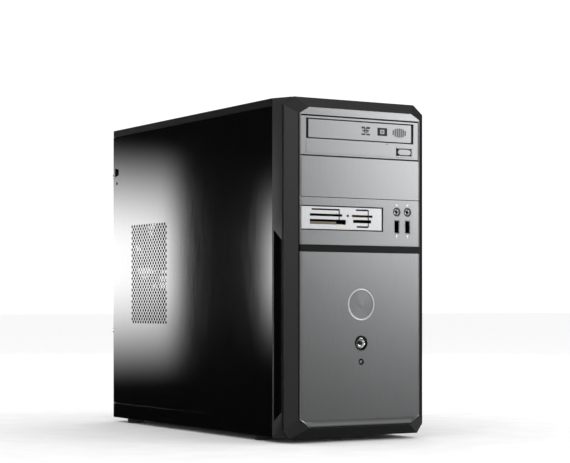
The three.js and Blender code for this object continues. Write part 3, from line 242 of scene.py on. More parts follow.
# coloured PBT inserts of the rear sockets
bluePbt = grainedFinish("blue_pbt", "#1c3f8f", "#2449a0", (0.8, 0.8, 0.8), (0.36, 0.46), 0.01, 0.3)
greenPbt = grainedFinish("green_pbt", "#5f9c3a", "#6cab45", (0.8, 0.8, 0.8), (0.36, 0.46), 0.01, 0.3)
pinkPbt = grainedFinish("pink_pbt", "#c9648a", "#d67296", (0.8, 0.8, 0.8), (0.36, 0.46), 0.01, 0.3)


def makeZincSteel():
    # hot-dip zinc on sheet steel: flat spangles about 7 mm across that each catch light differently
    material, shader = newMaterial("zinc_sheet_steel", Metallic=1.0)
    place = addNode(material, "ShaderNodeTexCoord")
    cells = addNode(material, "ShaderNodeTexVoronoi", {
        "Vector": place.outputs["Object"], "Scale": 1 / (7 * mm), "Randomness": 1.0,
    })
    tint = addNode(material, "ShaderNodeSeparateColor", {"Color": cells.outputs["Color"]}).outputs["Red"]
    link(material, blendColours(material, tint, "#8d9092", "#a6a9aa", (0, 1)), shader, "Base Color")
    link(material, spread(material, tint, 0.3, 0.46, (0, 1)), shader, "Roughness")
    bump(material, shader, grainField(material, (0.8, 0.8, 0.8)), 0.02, 0.25)
    return material


def makeLaminate():
    # glass-fibre board under green solder mask: raised copper tracks show as a lighter network
    material, shader = newMaterial("green_solder_mask", Specular_IOR_Level=0.5)
    place = addNode(material, "ShaderNodeTexCoord")
    tracks = addNode(material, "ShaderNodeTexBrick", {
        "Vector": addNode(material, "ShaderNodeMapping", {
            "Vector": place.outputs["Object"], "Rotation": (0, math.radians(90), 0),
        }).outputs["Vector"],
        "Scale": 1 / (9 * mm), "Mortar Size": 0.04, "Mortar Smooth": 0.2, "Bias": 0.0,
        "Brick Width": 0.9, "Row Height": 0.22,
        "Color1": hexColour("#0c3a24"), "Color2": hexColour("#0f4229"), "Mortar": hexColour("#1c6a43"),
    }, offset=0.37, squash=1.6)
    link(material, tracks.outputs["Color"], shader, "Base Color")
    link(material, spread(material, grainField(material, (3, 3, 3)), 0.28, 0.4), shader, "Roughness")
    bump(material, shader, tracks.outputs["Fac"], 0.03, 0.5)
    return material


def makeLens():
    # clear moulded light pipe: glassy, slightly milky
    material, shader = newMaterial(
        "clear_light_pipe", Transmission_Weight=0.6, IOR=1.49, Specular_IOR_Level=0.5,
    )
    field = grainField(material, (1.5, 1.5, 1.5))
    link(material, blendColours(material, field, "#8f9594", "#a7adab"), shader, "Base Color")
    link(material, spread(material, field, 0.12, 0.22), shader, "Roughness")
    return material


zincSteel = makeZincSteel()
greenLaminate = makeLaminate()
lightPipe = makeLens()
print("materials made")


# ---- shaping helpers, in millimetres

def slab(bm, x, y, z):
    # one closed block, corners given
    made = bmesh.ops.create_cube(bm, size=1)["verts"]
    bmesh.ops.scale(bm, vec=(x[1] - x[0], y[1] - y[0], z[1] - z[0]), verts=made)
    bmesh.ops.translate(bm, vec=((x[0] + x[1]) / 2, (y[0] + y[1]) / 2, (z[0] + z[1]) / 2), verts=made)
    return made


def edgesOf(verts):
    # each edge once, always in the same order
    return list(dict.fromkeys(e for v in verts for e in v.link_edges))


def softSlab(bm, x, y, z, radius=0.4, segments=2):
    made = slab(bm, x, y, z)
    roundEdges(bm, edgesOf(made), radius, segments)


def roundEdges(bm, edges, width, segments=2):
    if edges:
        bmesh.ops.bevel(
            bm, geom=edges, offset=width, offset_type="OFFSET", segments=segments, profile=0.5,
            affect="EDGES", clamp_overlap=True, material=-1,
        )


facing = {
    "front": Matrix.Rotation(math.radians(90), 4, "X"),
    "rear": Matrix.Rotation(math.radians(-90), 4, "X"),
    "left": Matrix.Rotation(math.radians(-90), 4, "Y"),
    "up": Matrix.Identity(4),
    "down": Matrix.Rotation(math.radians(180), 4, "X"),
}


def turned(bm, profile, centre, way, steps=40):
    # spins (radius, height) points about an axis that points the given way, on a closed profile
    verts = [bm.verts.new((r, 0, h)) for r, h in profile]
    edges = [bm.edges.new(pair) for pair in zip(verts, verts[1:])]
    if profile[0][0] > 0 or profile[-1][0] > 0:
        edges.append(bm.edges.new((verts[-1], verts[0])))
    before = set(bm.verts) - set(verts)
    bmesh.ops.spin(
        bm, geom=verts + edges, cent=(0, 0, 0), axis=(0, 0, 1), dvec=(0, 0, 0),
        angle=2 * math.pi, steps=steps, use_merge=True, use_normal_flip=False, use_duplicate=False,
    )
    made = [v for v in bm.verts if v not in before]
    bmesh.ops.remove_doubles(bm, verts=made, dist=0.0005)
    made = [v for v in bm.verts if v not in before]
    bmesh.ops.transform(bm, matrix=Matrix.Translation(Vector(centre)) @ facing[way], verts=made)


def frontCentre(low, high):
    return (low.x + high.x) / 2, low.y, (low.z + high.z) / 2


def frontEdges(bm, y, angle=50):
    # sharp edges that lie in the plane of the front face
    return sharpEdges(bm, angle, lambda e: all(v.co.y < y + 0.05 for v in e.verts))


def rearEdges(bm, y, angle=50):
    return sharpEdges(bm, angle, lambda e: all(v.co.y > y - 0.05 for v in e.verts))


def cutAcross(bm, place, normal):
    bmesh.ops.bisect_plane(
        bm, geom=list(bm.verts) + list(bm.edges) + list(bm.faces), dist=0.0005,
        plane_co=place, plane_no=normal,
    )


def cadCopy(node):
    # the node's own mesh in millimetres, its loose triangles merged into flat faces
    bm = bmesh.new()
    bm.from_mesh(frame["nodes"][node].data)
    bmesh.ops.scale(bm, vec=(1 / mm,) * 3, verts=bm.verts)
    bmesh.ops.remove_doubles(bm, verts=bm.verts, dist=0.002)
    bmesh.ops.dissolve_limit(
        bm, angle_limit=math.radians(0.6), use_dissolve_boundaries=False, verts=bm.verts, edges=bm.edges,
    )
    return bm


def sharpEdges(bm, angle=28, test=None):
    found = []
    for edge in bm.edges:
        if len(edge.link_faces) == 2 and edge.calc_face_angle(0) > math.radians(angle):
            if test is None or test(edge):
                found.append(edge)
    return found


smoothAngle = 32


def finish(bm, name, body, material, replaces=(), recalc=True):
    # metres, normals, shading and materials, then the piece's body and the nodes it stands for
    if recalc:
        bmesh.ops.recalc_face_normals(bm, faces=bm.faces)
    bmesh.ops.scale(bm, vec=(mm,) * 3, verts=bm.verts)
    mesh = bpy.data.meshes.new(name)
    bm.to_mesh(mesh)
    bm.free()
    for item in material if isinstance(material, (list, tuple)) else [material]:
        mesh.materials.append(item)
    mesh.shade_smooth()
    mesh.set_sharp_from_angle(angle=math.radians(smoothAngle))
    piece = bpy.data.objects.new(name, mesh)
    bpy.context.collection.objects.link(piece)
    weighted = piece.modifiers.new("even_shading", "WEIGHTED_NORMAL")
    weighted.keep_sharp = True
    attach(piece, body)
    if replaces:
        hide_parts(*replaces)


def refined(node, body, material, width, segments):
    # the CAD shape with its sharp edges rounded
    bm = cadCopy(node)
    roundEdges(bm, sharpEdges(bm), width, segments)
    finish(bm, node + "_shell", body, material, [node], recalc=False)


def facesWhere(bm, test, index):
    for face in bm.faces:
        if test(face):
            face.material_index = index


def insideFace(face, low, high, depth, margin):
    # whether a face lies behind the front by some depth and inside the outline by some margin
    middle = face.calc_center_median()
    across = low.x + margin < middle.x < high.x - margin
    return middle.y > low.y + depth and across and low.z + margin < middle.z < high.z - margin


# ---- steel covers

ventField = {
    "diameter": 3.9, "rowPitch": 3.5, "holePitch": 6.7, "rows": 34, "columns": 14,
    "top": 239.0, "rearSetback": 53.0, "sides": 10,
}


def ventCutter(panelLow, panelHigh):
    # staggered round punches through the left cover's skin
    bm = bmesh.new()
    for row in range(ventField["rows"]):
        z = ventField["top"] - row * ventField["rowPitch"]
        shift = ventField["holePitch"] / 2 if row % 2 else 0
        for column in range(ventField["columns"]):
            y = panelHigh.y - ventField["rearSetback"] - shift - column * ventField["holePitch"]
            bmesh.ops.create_cone(
                bm, cap_ends=True, cap_tris=False, segments=ventField["sides"],
                radius1=ventField["diameter"] / 2, radius2=ventField["diameter"] / 2, depth=6,
                matrix=Matrix.Translation((panelLow.x, y, z)) @ facing["left"],
            )
    bmesh.ops.scale(bm, vec=(mm,) * 3, verts=bm.verts)
    mesh = bpy.data.meshes.new("vent_punch")
    bm.to_mesh(mesh)
    bm.free()
    punch = bpy.data.objects.new("vent_punch", mesh)
    bpy.context.collection.objects.link(punch)
    return punch


def punchedCover():
    low, high = cadBox("left_side_panel")
    bm = cadCopy("left_side_panel")
    outerFold = sharpEdges(bm, 60, lambda e: all(v.co.x < low.x + 0.1 for v in e.verts))
    roundEdges(bm, outerFold, 0.9, 3)
    bmesh.ops.scale(bm, vec=(mm,) * 3, verts=bm.verts)
    mesh = bpy.data.meshes.new("left_cover_skin")
    bm.to_mesh(mesh)
    bm.free()
    skin = bpy.data.objects.new("left_cover_draft", mesh)
    bpy.context.collection.objects.link(skin)
    punch = ventCutter(low, high)
    cutting = skin.modifiers.new("punching", "BOOLEAN")
    cutting.operation = "DIFFERENCE"
    cutting.solver = "EXACT"
    cutting.object = punch
    bpy.context.view_layer.update()
    shaped = skin.evaluated_get(bpy.context.evaluated_depsgraph_get())
    bm = bmesh.new()
    bm.from_mesh(shaped.to_mesh())
    bpy.data.objects.remove(skin, do_unlink=True)
    bpy.data.objects.remove(punch, do_unlink=True)
    bmesh.ops.scale(bm, vec=(1 / mm,) * 3, verts=bm.verts)
    finish(bm, "left_cover", "left_cover", blackEnamel, ["left_side_panel"], recalc=False)


punchedCover()
refined("right_side_panel", "chassis", satinEnamel, 0.9, 3)
refined("top_cover", "chassis", satinEnamel, 0.9, 3)
refined("base_pan", "chassis", blackEnamel, 0.9, 3)
print("covers made")


# ---- feet

footShape = {"radius": 10.0, "lip": 1.1, "dish": 6.2, "dishDepth": 0.8}


def foot(node):
    low, high = cadBox(node)
    middle = (low + high) / 2
    tall = high.z - low.z
    r, lip = footShape["radius"], footShape["lip"]
    bm = bmesh.new()
    profile = [(0, 0), (r - 0.6, 0), (r - 0.5, tall * 0.4), (r, tall * 0.55)]
    for i in range(5):
        angle = math.radians(i * 22.5)
        profile.append((r - lip + lip * math.cos(angle), tall - lip + lip * math.sin(angle)))
    profile += [(footShape["dish"], tall), (footShape["dish"] - 0.8, tall - footShape["dishDepth"])]
    profile += [(0, tall - footShape["dishDepth"])]
    turned(bm, profile, (middle.x, middle.y, high.z), "down", 40)
    finish(bm, node + "_pad", "chassis", mouldedRubber, [node])


for corner in ("front_left", "front_right", "rear_left", "rear_right"):
    foot("foot_" + corner)


# ---- bezel

bezelShape = {
    "groove": (11.0, 11.5, 13.2, 13.7), "grooveDepth": 1.2, "edge": 0.8, "skin": 1.6, "corner": 1.9,
    "foldsInside": 12.0, "foldsDepth": 35.5, "foldLength": 2.5,
    "recessFrom": 16.0, "recessSide": 80.0, "recessFoot": 21.0, "recessTop": 223.0,
}
bezelLow, bezelHigh = cadBox("front_bezel")
frontY = bezelLow.y
midZ = (bezelLow.z + bezelHigh.z) / 2


def bezel():
    bm = cadCopy("front_bezel")

    def onShell(edge):
        # long outer folds, and not the arms and bosses inside
        inside = bezelShape["foldsInside"]
        for v in edge.verts:
            atSide = abs(v.co.x) > bezelHigh.x - inside - 0.7
            atEnd = v.co.z > bezelHigh.z - inside or v.co.z < bezelLow.z + inside
            if not (atSide or atEnd) or v.co.y > frontY + bezelShape["foldsDepth"]:
                return False
        return edge.calc_length() > bezelShape["foldLength"]

    roundEdges(bm, sharpEdges(bm, 18, onShell), bezelShape["edge"], 3)
    # a shadow line runs round the shell just behind the chamfer
    for depth in bezelShape["groove"]:
        cutAcross(bm, (0, frontY + depth, 0), (0, 1, 0))
    inner, skin = bezelShape["groove"][1:3], bezelShape["skin"]
    for v in bm.verts:
        if not any(abs(v.co.y - frontY - depth) < 0.01 for depth in inner):
            continue
        rise = v.co.z - midZ
        corner = abs(v.co.x) / bezelHigh.x + abs(rise) / (bezelHigh.z - midZ) > bezelShape["corner"]
        nearSide = abs(v.co.x) > bezelHigh.x - skin
        nearEnd = v.co.z > bezelHigh.z - skin or v.co.z < bezelLow.z + skin
        if nearSide or corner:
            v.co.x -= math.copysign(bezelShape["grooveDepth"], v.co.x)
        if corner or (nearEnd and not nearSide):
            v.co.z -= math.copysign(bezelShape["grooveDepth"], rise)

    def nearShell(place, margin):
        atEnd = place.z > bezelHigh.z - margin or place.z < bezelLow.z + margin
        return abs(place.x) > bezelHigh.x - margin or atEnd

    def inGroove(face):
        middle = face.calc_center_median()
        level = frontY + inner[0] - 0.6 < middle.y < frontY + inner[1] + 0.6
        return level and nearShell(middle, 2.0) and all(nearShell(v.co, 3.5) for v in face.verts)

    def inRecess(face):
        middle = face.calc_center_median()
        behind = middle.y > frontY + bezelShape["recessFrom"]
        across = bezelShape["recessSide"] < abs(middle.x) < bezelHigh.x - 0.6
        return behind and across and bezelShape["recessFoot"] < middle.z < bezelShape["recessTop"]

    # the groove's and the side pocket's faces take the darker moulding: painted shade in the crease and the
    # recess
    facesWhere(bm, inGroove, 1)
    facesWhere(bm, inRecess, 1)
    finish(bm, "bezel_shell", "bezel", [textureAbs, smoothAbsAndShade], ["front_bezel"], recalc=False)


bezel()


# ---- silver facings

facingShape = {
    "sideRoll": 1.1, "seam": 0.45, "bottomRoll": 9.0, "rollDrop": 2.6,
    "rim": 1.6, "lineWidth": 0.6, "lineDepth": 0.6, "rollSteps": 8,
}


def rolledFacing(node):
    low, high = cadBox(node)
    bm = cadCopy(node)

    def isSide(edge):
        upright = abs(edge.verts[0].co.x - edge.verts[1].co.x) < 0.01
        return upright and all(
            v.co.y < low.y + 0.05 and abs(v.co.x) > high.x - 0.05 for v in edge.verts
        )

    def isSeam(edge):
        first, second = (v.co for v in edge.verts)
        upright = abs(first.x - second.x) < 0.01
        onRim = abs(first.x) > high.x - facingShape["rim"]
        return max(first.y, second.y) < low.y + 0.05 and not (upright and onRim)

    roundEdges(bm, sharpEdges(bm, 60, isSide), facingShape["sideRoll"], 4)
    roundEdges(bm, sharpEdges(bm, 50, isSeam), facingShape["seam"], 2)
    return bm, low, high


def scribe(bm, low, point, normal):
    # a fine V line across the front face, which sets off the rim
    point, normal = Vector(point), Vector(normal).normalized()
    for share in (-0.5, 0, 0.5):
        cutAcross(bm, point + normal * share * facingShape["lineWidth"], normal)
    for v in bm.verts:
        if v.co.y < low.y + 0.02 and abs((v.co - point).dot(normal)) < 0.01:
            v.co.y += facingShape["lineDepth"]


def trimFacings():
    for node in ("top_trim", "port_panel", "blank_bay_cover"):
        bm, low, high = rolledFacing(node)
        if node != "top_trim":
            for side in (-1, 1):
                scribe(bm, low, (side * (high.x - facingShape["rim"]), 0, 0), (1, 0, 0))
        finish(bm, node + "_face", "bezel", silverLacquer, [node], recalc=False)
    bm = rolledFacing("trim_strip")[0]
    finish(bm, "trim_strip_face", "bezel", smoothAbsAndShade, ["trim_strip"], recalc=False)


def cornerClip(node, low, high):
    # how much of the piece's lower corners is cut off, along x and z
    verts = [v.co / mm for v in frame["nodes"][node].data.vertices]
    foot = max(v.x for v in verts if v.z < low.z + 0.01)
    side = min(v.z for v in verts if v.x > high.x - 0.01)
    return Vector((high.x - foot, 0, side - low.z))


def lowerFacing():
    # the lower panel's foot rolls back under the bezel
    bm, low, high = rolledFacing("lower_panel")
    clip = cornerClip("lower_panel", low, high)
    along = Vector((clip.z, 0, clip.x))
    rim = facingShape["rim"]
    for side in (-1, 1):
        scribe(bm, low, (side * (high.x - rim), 0, 0), (1, 0, 0))
        # the line follows the clipped corner too
        inward = Vector((-side * along.x, 0, along.z)).normalized()
        scribe(bm, low, Vector((side * (high.x - clip.x), 0, low.z)) + inward * rim, inward)
    roll, drop = facingShape["bottomRoll"], facingShape["rollDrop"]
    for i in range(facingShape["rollSteps"]):
        angle = math.radians(90 * (i + 0.5) / facingShape["rollSteps"])
        cutAcross(bm, (0, 0, low.z + roll * (1 - math.cos(angle))), (0, 0, 1))
    for v in bm.verts:
        share = (low.z + roll - v.co.z) / roll
        if share > 0:
            back = drop * (1 - math.sqrt(max(0.0, 1 - min(1.0, share) ** 2)))
            v.co.y += back * (high.y - v.co.y) / (high.y - low.y)
    finish(bm, "lower_panel_face", "bezel", silverLacquer, ["lower_panel"], recalc=False)


trimFacings()
lowerFacing()
print("bezel and facings made")


# ---- optical drive's front

doorShape = {"endGap": 2.2, "edge": 0.35, "height": 19.6, "thick": 1.55, "seam": 0.7}
stripShape = {
    "foot": 2.7, "side": 0.6, "drop": 20.9, "proud": 0.3, "edge": 0.14,
    "keyBed": 2.2, "keyGap": 1.0, "lampX": 33.3, "lampDrop": 22.0,
}


def trayPieces():
    low, high = cadBox("disc_tray")
    bm = cadCopy("disc_tray")
    roundEdges(bm, sharpEdges(bm, 40, lambda e: min(v.co.y for v in e.verts) > low.y + 4), 0.4, 2)
    # the moulded tray sits behind its painted door
    for v in bm.verts:
        if v.co.y < low.y + 0.05:
            v.co.y += doorShape["thick"] + 0.05
    finish(bm, "tray_moulding", "tray", smoothAbsAndShade, ["disc_tray"], recalc=False)

    bm = bmesh.new()
    x = (low.x + doorShape["endGap"], high.x - doorShape["endGap"])
    z = (high.z - doorShape["height"], high.z - 0.4)
    softSlab(bm, x, (low.y, low.y + doorShape["thick"]), z, doorShape["edge"], 3)
    finish(bm, "tray_door", "tray", silverSpray)


def driveStrip():
    # raised strip under the door that carries the key and the lamp
    faceLow = cadBox("drive_face")[0]
    keyLow, keyHigh = cadBox("eject_button")
    trayLow, trayHigh = cadBox("disc_tray")
    left, right = trayLow.x - stripShape["side"], trayHigh.x + stripShape["side"]
    bottom, top = faceLow.z + stripShape["foot"], trayHigh.z - stripShape["drop"]
    bedLeft, bedRight = keyLow.x - stripShape["keyBed"], keyHigh.x + stripShape["keyGap"]
    bedLow, bedHigh = keyLow.z - stripShape["keyGap"], keyHigh.z + stripShape["keyGap"]
    y = (faceLow.y - stripShape["proud"], faceLow.y + 0.2)
    bm = bmesh.new()
    for x, z in (
        ((left, bedLeft), (bottom, top)), ((bedLeft, right), (bedHigh, top)),
        ((bedLeft, right), (bottom, bedLow)), ((bedRight, right), (bedLow, bedHigh)),
    ):
        softSlab(bm, x, y, z, stripShape["edge"], 2)
    finish(bm, "drive_strip", "chassis", silverSpray)

    # dark slab in the bed left of the key: painted shade of the gap, which shows as an outline round the key
    bm = bmesh.new()
    softSlab(
        bm, (bedLeft + 0.1, keyLow.x - 0.45), (faceLow.y - 0.12, faceLow.y + 0.1),
        (bedLow + 0.1, bedHigh - 0.1), 0.1, 1,
    )
    finish(bm, "key_gap_shade", "chassis", smoothAbsAndShade)

    bm = cadCopy("eject_button")
    roundEdges(bm, frontEdges(bm, keyLow.y), 0.6, 3)
    finish(bm, "eject_key_cap", "eject_key", silverSpray, ["eject_button"], recalc=False)

    # busy lamp
    bm = bmesh.new()
    turned(bm, [(0, 0), (0.75, 0), (0.75, 0.5), (0.5, 0.62), (0, 0.66)],
           (stripShape["lampX"], faceLow.y - 0.1, trayHigh.z - stripShape["lampDrop"]), "front", 20)
    finish(bm, "drive_lamp", "chassis", lightPipe)


markShape = {
    "drop": 9.3, "ink": 0.015, "bars": 7, "barShare": 0.72, "oval": 4.9,
    "a": (0.9, 11.7), "b": (21.2, 33.7), "c": (40.7, 58.7),
}


def discMarks():
    # generic printed pictograms for the kinds of disc: bars, a block and a ringed oval, no lettering
    low, high = cadBox("disc_tray")
    y = (low.y - markShape["ink"], low.y + markShape["ink"])
    z = high.z - markShape["drop"]

    def bar(bm, x0, x1, z0, z1):
        softSlab(bm, (x0, x1), y, (z + z0, z + z1), 0.01, 1)

    bm = bmesh.new()
    x0, x1 = markShape["a"]
    middle = (x0 + x1) / 2
    for z0, z1 in ((2.2, 4.4), (-4.6, -2.8)):
        bar(bm, x0, middle - 0.7, z0, z1)
        bar(bm, middle + 0.7, x1, z0, z1)
    bar(bm, x0 + 1.2, x1 - 1.2, -0.6, 0.8)
    ring = [(1.6, -0.015), (2.5, -0.015), (2.5, 0.015), (1.6, 0.015)]
    turned(bm, ring, (middle, low.y, z + 0.1), "front", 24)
    finish(bm, "disc_mark_a", "tray", greyInk)

    bm = bmesh.new()
    x0, x1 = markShape["b"]
    middle = (x0 + x1) / 2
    for z0, z1 in ((2.2, 4.2), (-4.2, -2.2)):
        bar(bm, x0, x1, z0, z1)
    bar(bm, x0, middle - 2.6, -2.2, 2.2)
    bar(bm, middle + 2.6, x1, -2.2, 2.2)
    turned(bm, [(0.7, -0.015), (1.5, -0.015), (1.5, 0.015), (0.7, 0.015)], (middle, low.y, z), "front", 20)
    finish(bm, "disc_mark_b", "tray", darkInk)

    bm = bmesh.new()
    x0, x1 = markShape["c"]
    bars, pitch = markShape["bars"], (x1 - x0) / markShape["bars"]
    for i in range(bars):
        across = (i - (bars - 1) / 2) / (bars / 2)
        half = markShape["oval"] * math.sqrt(1 - across ** 2)
        x = x0 + i * pitch
        bar(bm, x, x + pitch * markShape["barShare"], -half, half)
    finish(bm, "disc_mark_c", "tray", midInk)


def driveFront():
    # its top and foot stand back from the facings, so that a dark seam shows
    low, high = cadBox("drive_face")
    bm = cadCopy("drive_face")
    for v in bm.verts:
        if v.co.z > high.z - 0.01:
            v.co.z -= doorShape["seam"]
        if v.co.z < low.z + 0.01:
            v.co.z += doorShape["seam"]
    roundEdges(bm, frontEdges(bm, low.y), 0.4, 2)
    finish(bm, "drive_front", "chassis", silverSpray, ["drive_face"], recalc=False)


driveFront()
trayPieces()
driveStrip()
discMarks()
print("drive front made")


# ---- card reader

# places across are measured from the middle of the case, drops from the reader's top
readerShape = {
    "seam": 0.75, "line": 1.3, "lamp": (-16.2, 9.6), "ramp": ((-62.2, -30), (18.95, 16.2)),
    "slitShadeLines": ((-26.9, (3.6, 14.2)), (9.6, (3.0, 8.8)), (9.6, (10.6, 13.8)), (9.6, (16.6, 21.0))),
    "contacts": ((-60.5, 16, 1.3, 14, 18.9, 18.3), (-9, 9, 1.2, 12, 10.5, 10.1)), "contactPitch": 2.5,
}


def cardReader():
    low, high = cadBox("card_reader")
    bm = cadCopy("card_reader")
    # its rim stands back from the port panel, so that a dark seam shows all round
    seam = readerShape["seam"]
    for v in bm.verts:
        for axis in (0, 2):
            if v.co[axis] > high[axis] - 0.01:
                v.co[axis] -= seam
            elif v.co[axis] < low[axis] + 0.01:
                v.co[axis] += seam
    roundEdges(bm, frontEdges(bm, low.y), 0.25, 2)
    # walls of the slots take the dark moulding, darkened as painted shade inside the slots
    facesWhere(bm, lambda f: insideFace(f, low, high, 0.3, 1.5), 1)
    finish(bm, "reader_body", "chassis", [platedAbs, smoothAbsAndShade], ["card_reader"], recalc=False)

    # dark strips that join the slots of each group: painted shade of the slits between them
    bm = bmesh.new()
    y = (low.y - 0.02, low.y + 0.1)
    half = readerShape["line"] / 2
    for x, drops in readerShape["slitShadeLines"]:
        slab(bm, (x - half, x + half), y, (high.z - drops[1], high.z - drops[0]))
    finish(bm, "reader_slit_shade", "chassis", smoothAbsAndShade)

    # contact rows at the back of the wide slots
    bm = bmesh.new()
    for start, count, width, depth, under, over in readerShape["contacts"]:
        for i in range(count):
            x = start + i * readerShape["contactPitch"]
            slab(bm, (x, x + width), (low.y + 2, low.y + depth), (high.z - under, high.z - over))
    finish(bm, "reader_contacts", "chassis", goldFlash)
    bm = bmesh.new()
    rampX, rampDrops = readerShape["ramp"]
    rampZ = [high.z - drop for drop in rampDrops]
    softSlab(bm, rampX, (low.y + 0.8, low.y + 3.4), rampZ, 0.3, 2)
    finish(bm, "reader_card_ramp", "chassis", makeRamp())

    # lamp
    bm = bmesh.new()
    turned(bm, [(0, -0.4), (1.4, -0.4), (1.4, 0.05), (0.9, 0.25), (0, 0.3)],
           (readerShape["lamp"][0], low.y, high.z - readerShape["lamp"][1]), "front", 20)
    finish(bm, "reader_lamp", "chassis", smoothAbsAndShade)


def makeRamp():
    # tan polyester film on the ramp inside the widest slot
    return grainedFinish("tan_polyester", "#5c5543", "#6f6853", (1, 1, 1), (0.35, 0.5), 0.01, 0.3)


cardReader()


# ---- front ports

portShape = {"collar": 4.45, "ring": 3.3, "bore": 1.75}


def audioJack(node, label):
    low, high = cadBox(node)
    centre = frontCentre(low, high)
    collar, ring, bore = portShape["collar"], portShape["ring"], portShape["bore"]
    bm = bmesh.new()
    turned(bm, [(bore + 0.1, -18), (collar, -18), (collar, -0.35), (collar - 0.25, -0.1),
                (ring + 0.05, -0.1), (ring + 0.05, -1.0), (bore + 0.1, -1.0)], centre, "front", 36)
    softSlab(bm, (low.x, high.x), (low.y + 6.6, high.y), (low.z, high.z), 0.4, 2)
    finish(bm, label + "_barrel", "chassis", glossAbs, [node])
    bm = bmesh.new()
    turned(bm, [(bore, -6), (bore + 0.35, -6), (bore + 0.35, -0.95), (ring, -0.95), (ring, -0.15),
                (ring - 0.3, 0.1), (ring - 0.55, 0.0), (bore + 0.35, -0.45), (bore, -0.6)],
           centre, "front", 36)
    finish(bm, label + "_ring", "chassis", chromePlate)


def usbPort(node, label):
    low, high = cadBox(node)
    bm = cadCopy(node)
    roundEdges(bm, frontEdges(bm, low.y), 0.12, 1)
    # faces behind the mouth take the dark moulding: the tongue's own black, with painted shade on the
    # shell's inner walls
    facesWhere(bm, lambda f: insideFace(f, low, high, 0.6, 0.3), 1)
    finish(bm, label + "_shell", "chassis", [nickelPlate, smoothAbsAndShade], [node], recalc=False)
    bm = bmesh.new()
    pitch = (high.z - low.z) / 6
    for i in range(4):
        z = low.z + pitch * (i + 1.5)
        slab(bm, (low.x + 2.1, low.x + 2.32), (low.y + 2.2, low.y + 11), (z - 0.5, z + 0.5))
    finish(bm, label + "_contacts", "chassis", goldFlash)


def portMarks():
    # generic printed marks: a dot with an arc over the jacks, a small fork under the data ports
    y = cadBox("port_panel")[0].y
    jackTop = cadBox("headphone_jack")[1].z
    usbFoot = cadBox("usb_port_left")[0].z
    boxes = [cadBox(node) for node in ("usb_port_left", "usb_port_right")]
    columns = [(box[0].x + box[1].x) / 2 for box in boxes]
    bm = bmesh.new()
    for x in columns:
        softSlab(bm, (x - 1.5, x + 1.5), (y - 0.02, y + 0.05), (jackTop + 2.5, jackTop + 3.1), 0.01, 1)
        softSlab(bm, (x - 0.35, x + 0.35), (y - 0.02, y + 0.05), (jackTop + 1.6, jackTop + 4.1), 0.01, 1)
        turned(bm, [(0, -0.05), (0.9, -0.05), (0.9, 0.02), (0, 0.02)], (x, y, usbFoot - 2.6), "front", 20)
        softSlab(bm, (x - 0.3, x + 0.3), (y - 0.02, y + 0.05), (usbFoot - 5.0, usbFoot - 3.2), 0.01, 1)
    finish(bm, "port_marks", "bezel", paleInk)


for node, label in (("headphone_jack", "headphone"), ("microphone_jack", "microphone")):
    audioJack(node, label)
for node, label in (("usb_port_left", "usb_left"), ("usb_port_right", "usb_right")):
    usbPort(node, label)
portMarks()
print("reader and ports made")


# ---- badge, power button and lamp

badgeShape = {"rim": 1.9, "proud": 0.9, "field": 0.1, "grooves": 5}
ringShape = {"lip": 1.3, "proud": 0.9, "gap": 0.35, "dish": 1.5, "dome": 2.3}


def badge():
    # blank disc in a bright rim
    low, high = cadBox("badge")
    r = (high.x - low.x) / 2
    centre = ((low.x + high.x) / 2, high.y, (low.z + high.z) / 2)
    rim, top, field = badgeShape["rim"], badgeShape["proud"] + 0.5, badgeShape["field"] + 0.5
    bm = bmesh.new()
    profile = [(r - rim, 0), (r, 0), (r, top - 0.5)]
    for i in range(7):
        angle = math.radians(i * 30)
        profile.append((r - rim / 2 + rim / 2 * math.cos(angle), top - 0.5 + 0.5 * math.sin(angle)))
    turned(bm, profile, centre, "front", 72)
    finish(bm, "badge_rim", "bezel", platedAbs, ["badge"])
    bm = bmesh.new()
    inner = r - rim - 0.02
    profile = [(0, 0), (inner, 0), (inner, field)]
    for i in range(badgeShape["grooves"]):
        at = inner - 1.2 - i * 2.4
        profile += [(at, field), (at - 0.2, field - 0.06), (at - 0.4, field)]
    profile.append((0, field))
    turned(bm, profile, centre, "front", 72)
    finish(bm, "badge_disc", "bezel", turnedSilver)


def powerButton():
    low, high = cadBox("button_ring")
    r = (high.x - low.x) / 2
    capLow, capHigh = cadBox("power_button")
    capR = (capHigh.x - capLow.x) / 2
    centre = frontCentre(low, high)
    bore = capR + ringShape["gap"]
    lip, proud = ringShape["lip"], ringShape["proud"]
    bm = bmesh.new()
    depth = high.y - low.y
    profile = [(bore, -depth), (r, -depth), (r, 0)]
    for i in range(1, 6):
        angle = math.radians(i * 30)
        profile.append((r - lip / 2 + lip / 2 * math.cos(angle), proud * 0.5 * math.sin(angle)))
    profile += [(r - lip, 0), (bore + 0.3, -1.1), (bore, -1.4)]
    turned(bm, profile, centre, "front", 56)
    finish(bm, "button_bezel", "bezel", glossAbs, ["button_ring"])

    # the cap is a shallow chrome dish with a dark domed middle
    bm = bmesh.new()
    y = capLow.y
    depth = capHigh.y - capLow.y
    profile = [(0, -depth), (2.5, -depth), (2.5, -7), (capR, -6), (capR, -0.9), (capR - 0.2, -0.55)]
    for i in range(7):
        share = i / 6
        at = capR - 0.5 - (capR - 3.1) * share
        profile.append((at, -0.45 - ringShape["dish"] * math.sin(math.radians(90 * share))))
    profile.append((0, -1.95))
    turned(bm, profile, (centre[0], y - 0.2, centre[2]), "front", 56)
    finish(bm, "power_cap", "power_key", chromePlate, ["power_button"])
    bm = bmesh.new()
    dome = ringShape["dome"]
    profile = [(0, -2.1), (dome, -2.1), (dome, -1.6)]
    for i in range(1, 6):
        angle = math.radians(i * 18)
        profile.append((dome * math.cos(angle), -1.6 + 0.9 * math.sin(angle)))
    profile[-1] = (0, -0.7)
    turned(bm, profile, (centre[0], y - 0.2, centre[2]), "front", 40)
    finish(bm, "power_cap_middle", "power_key", glossAbs)


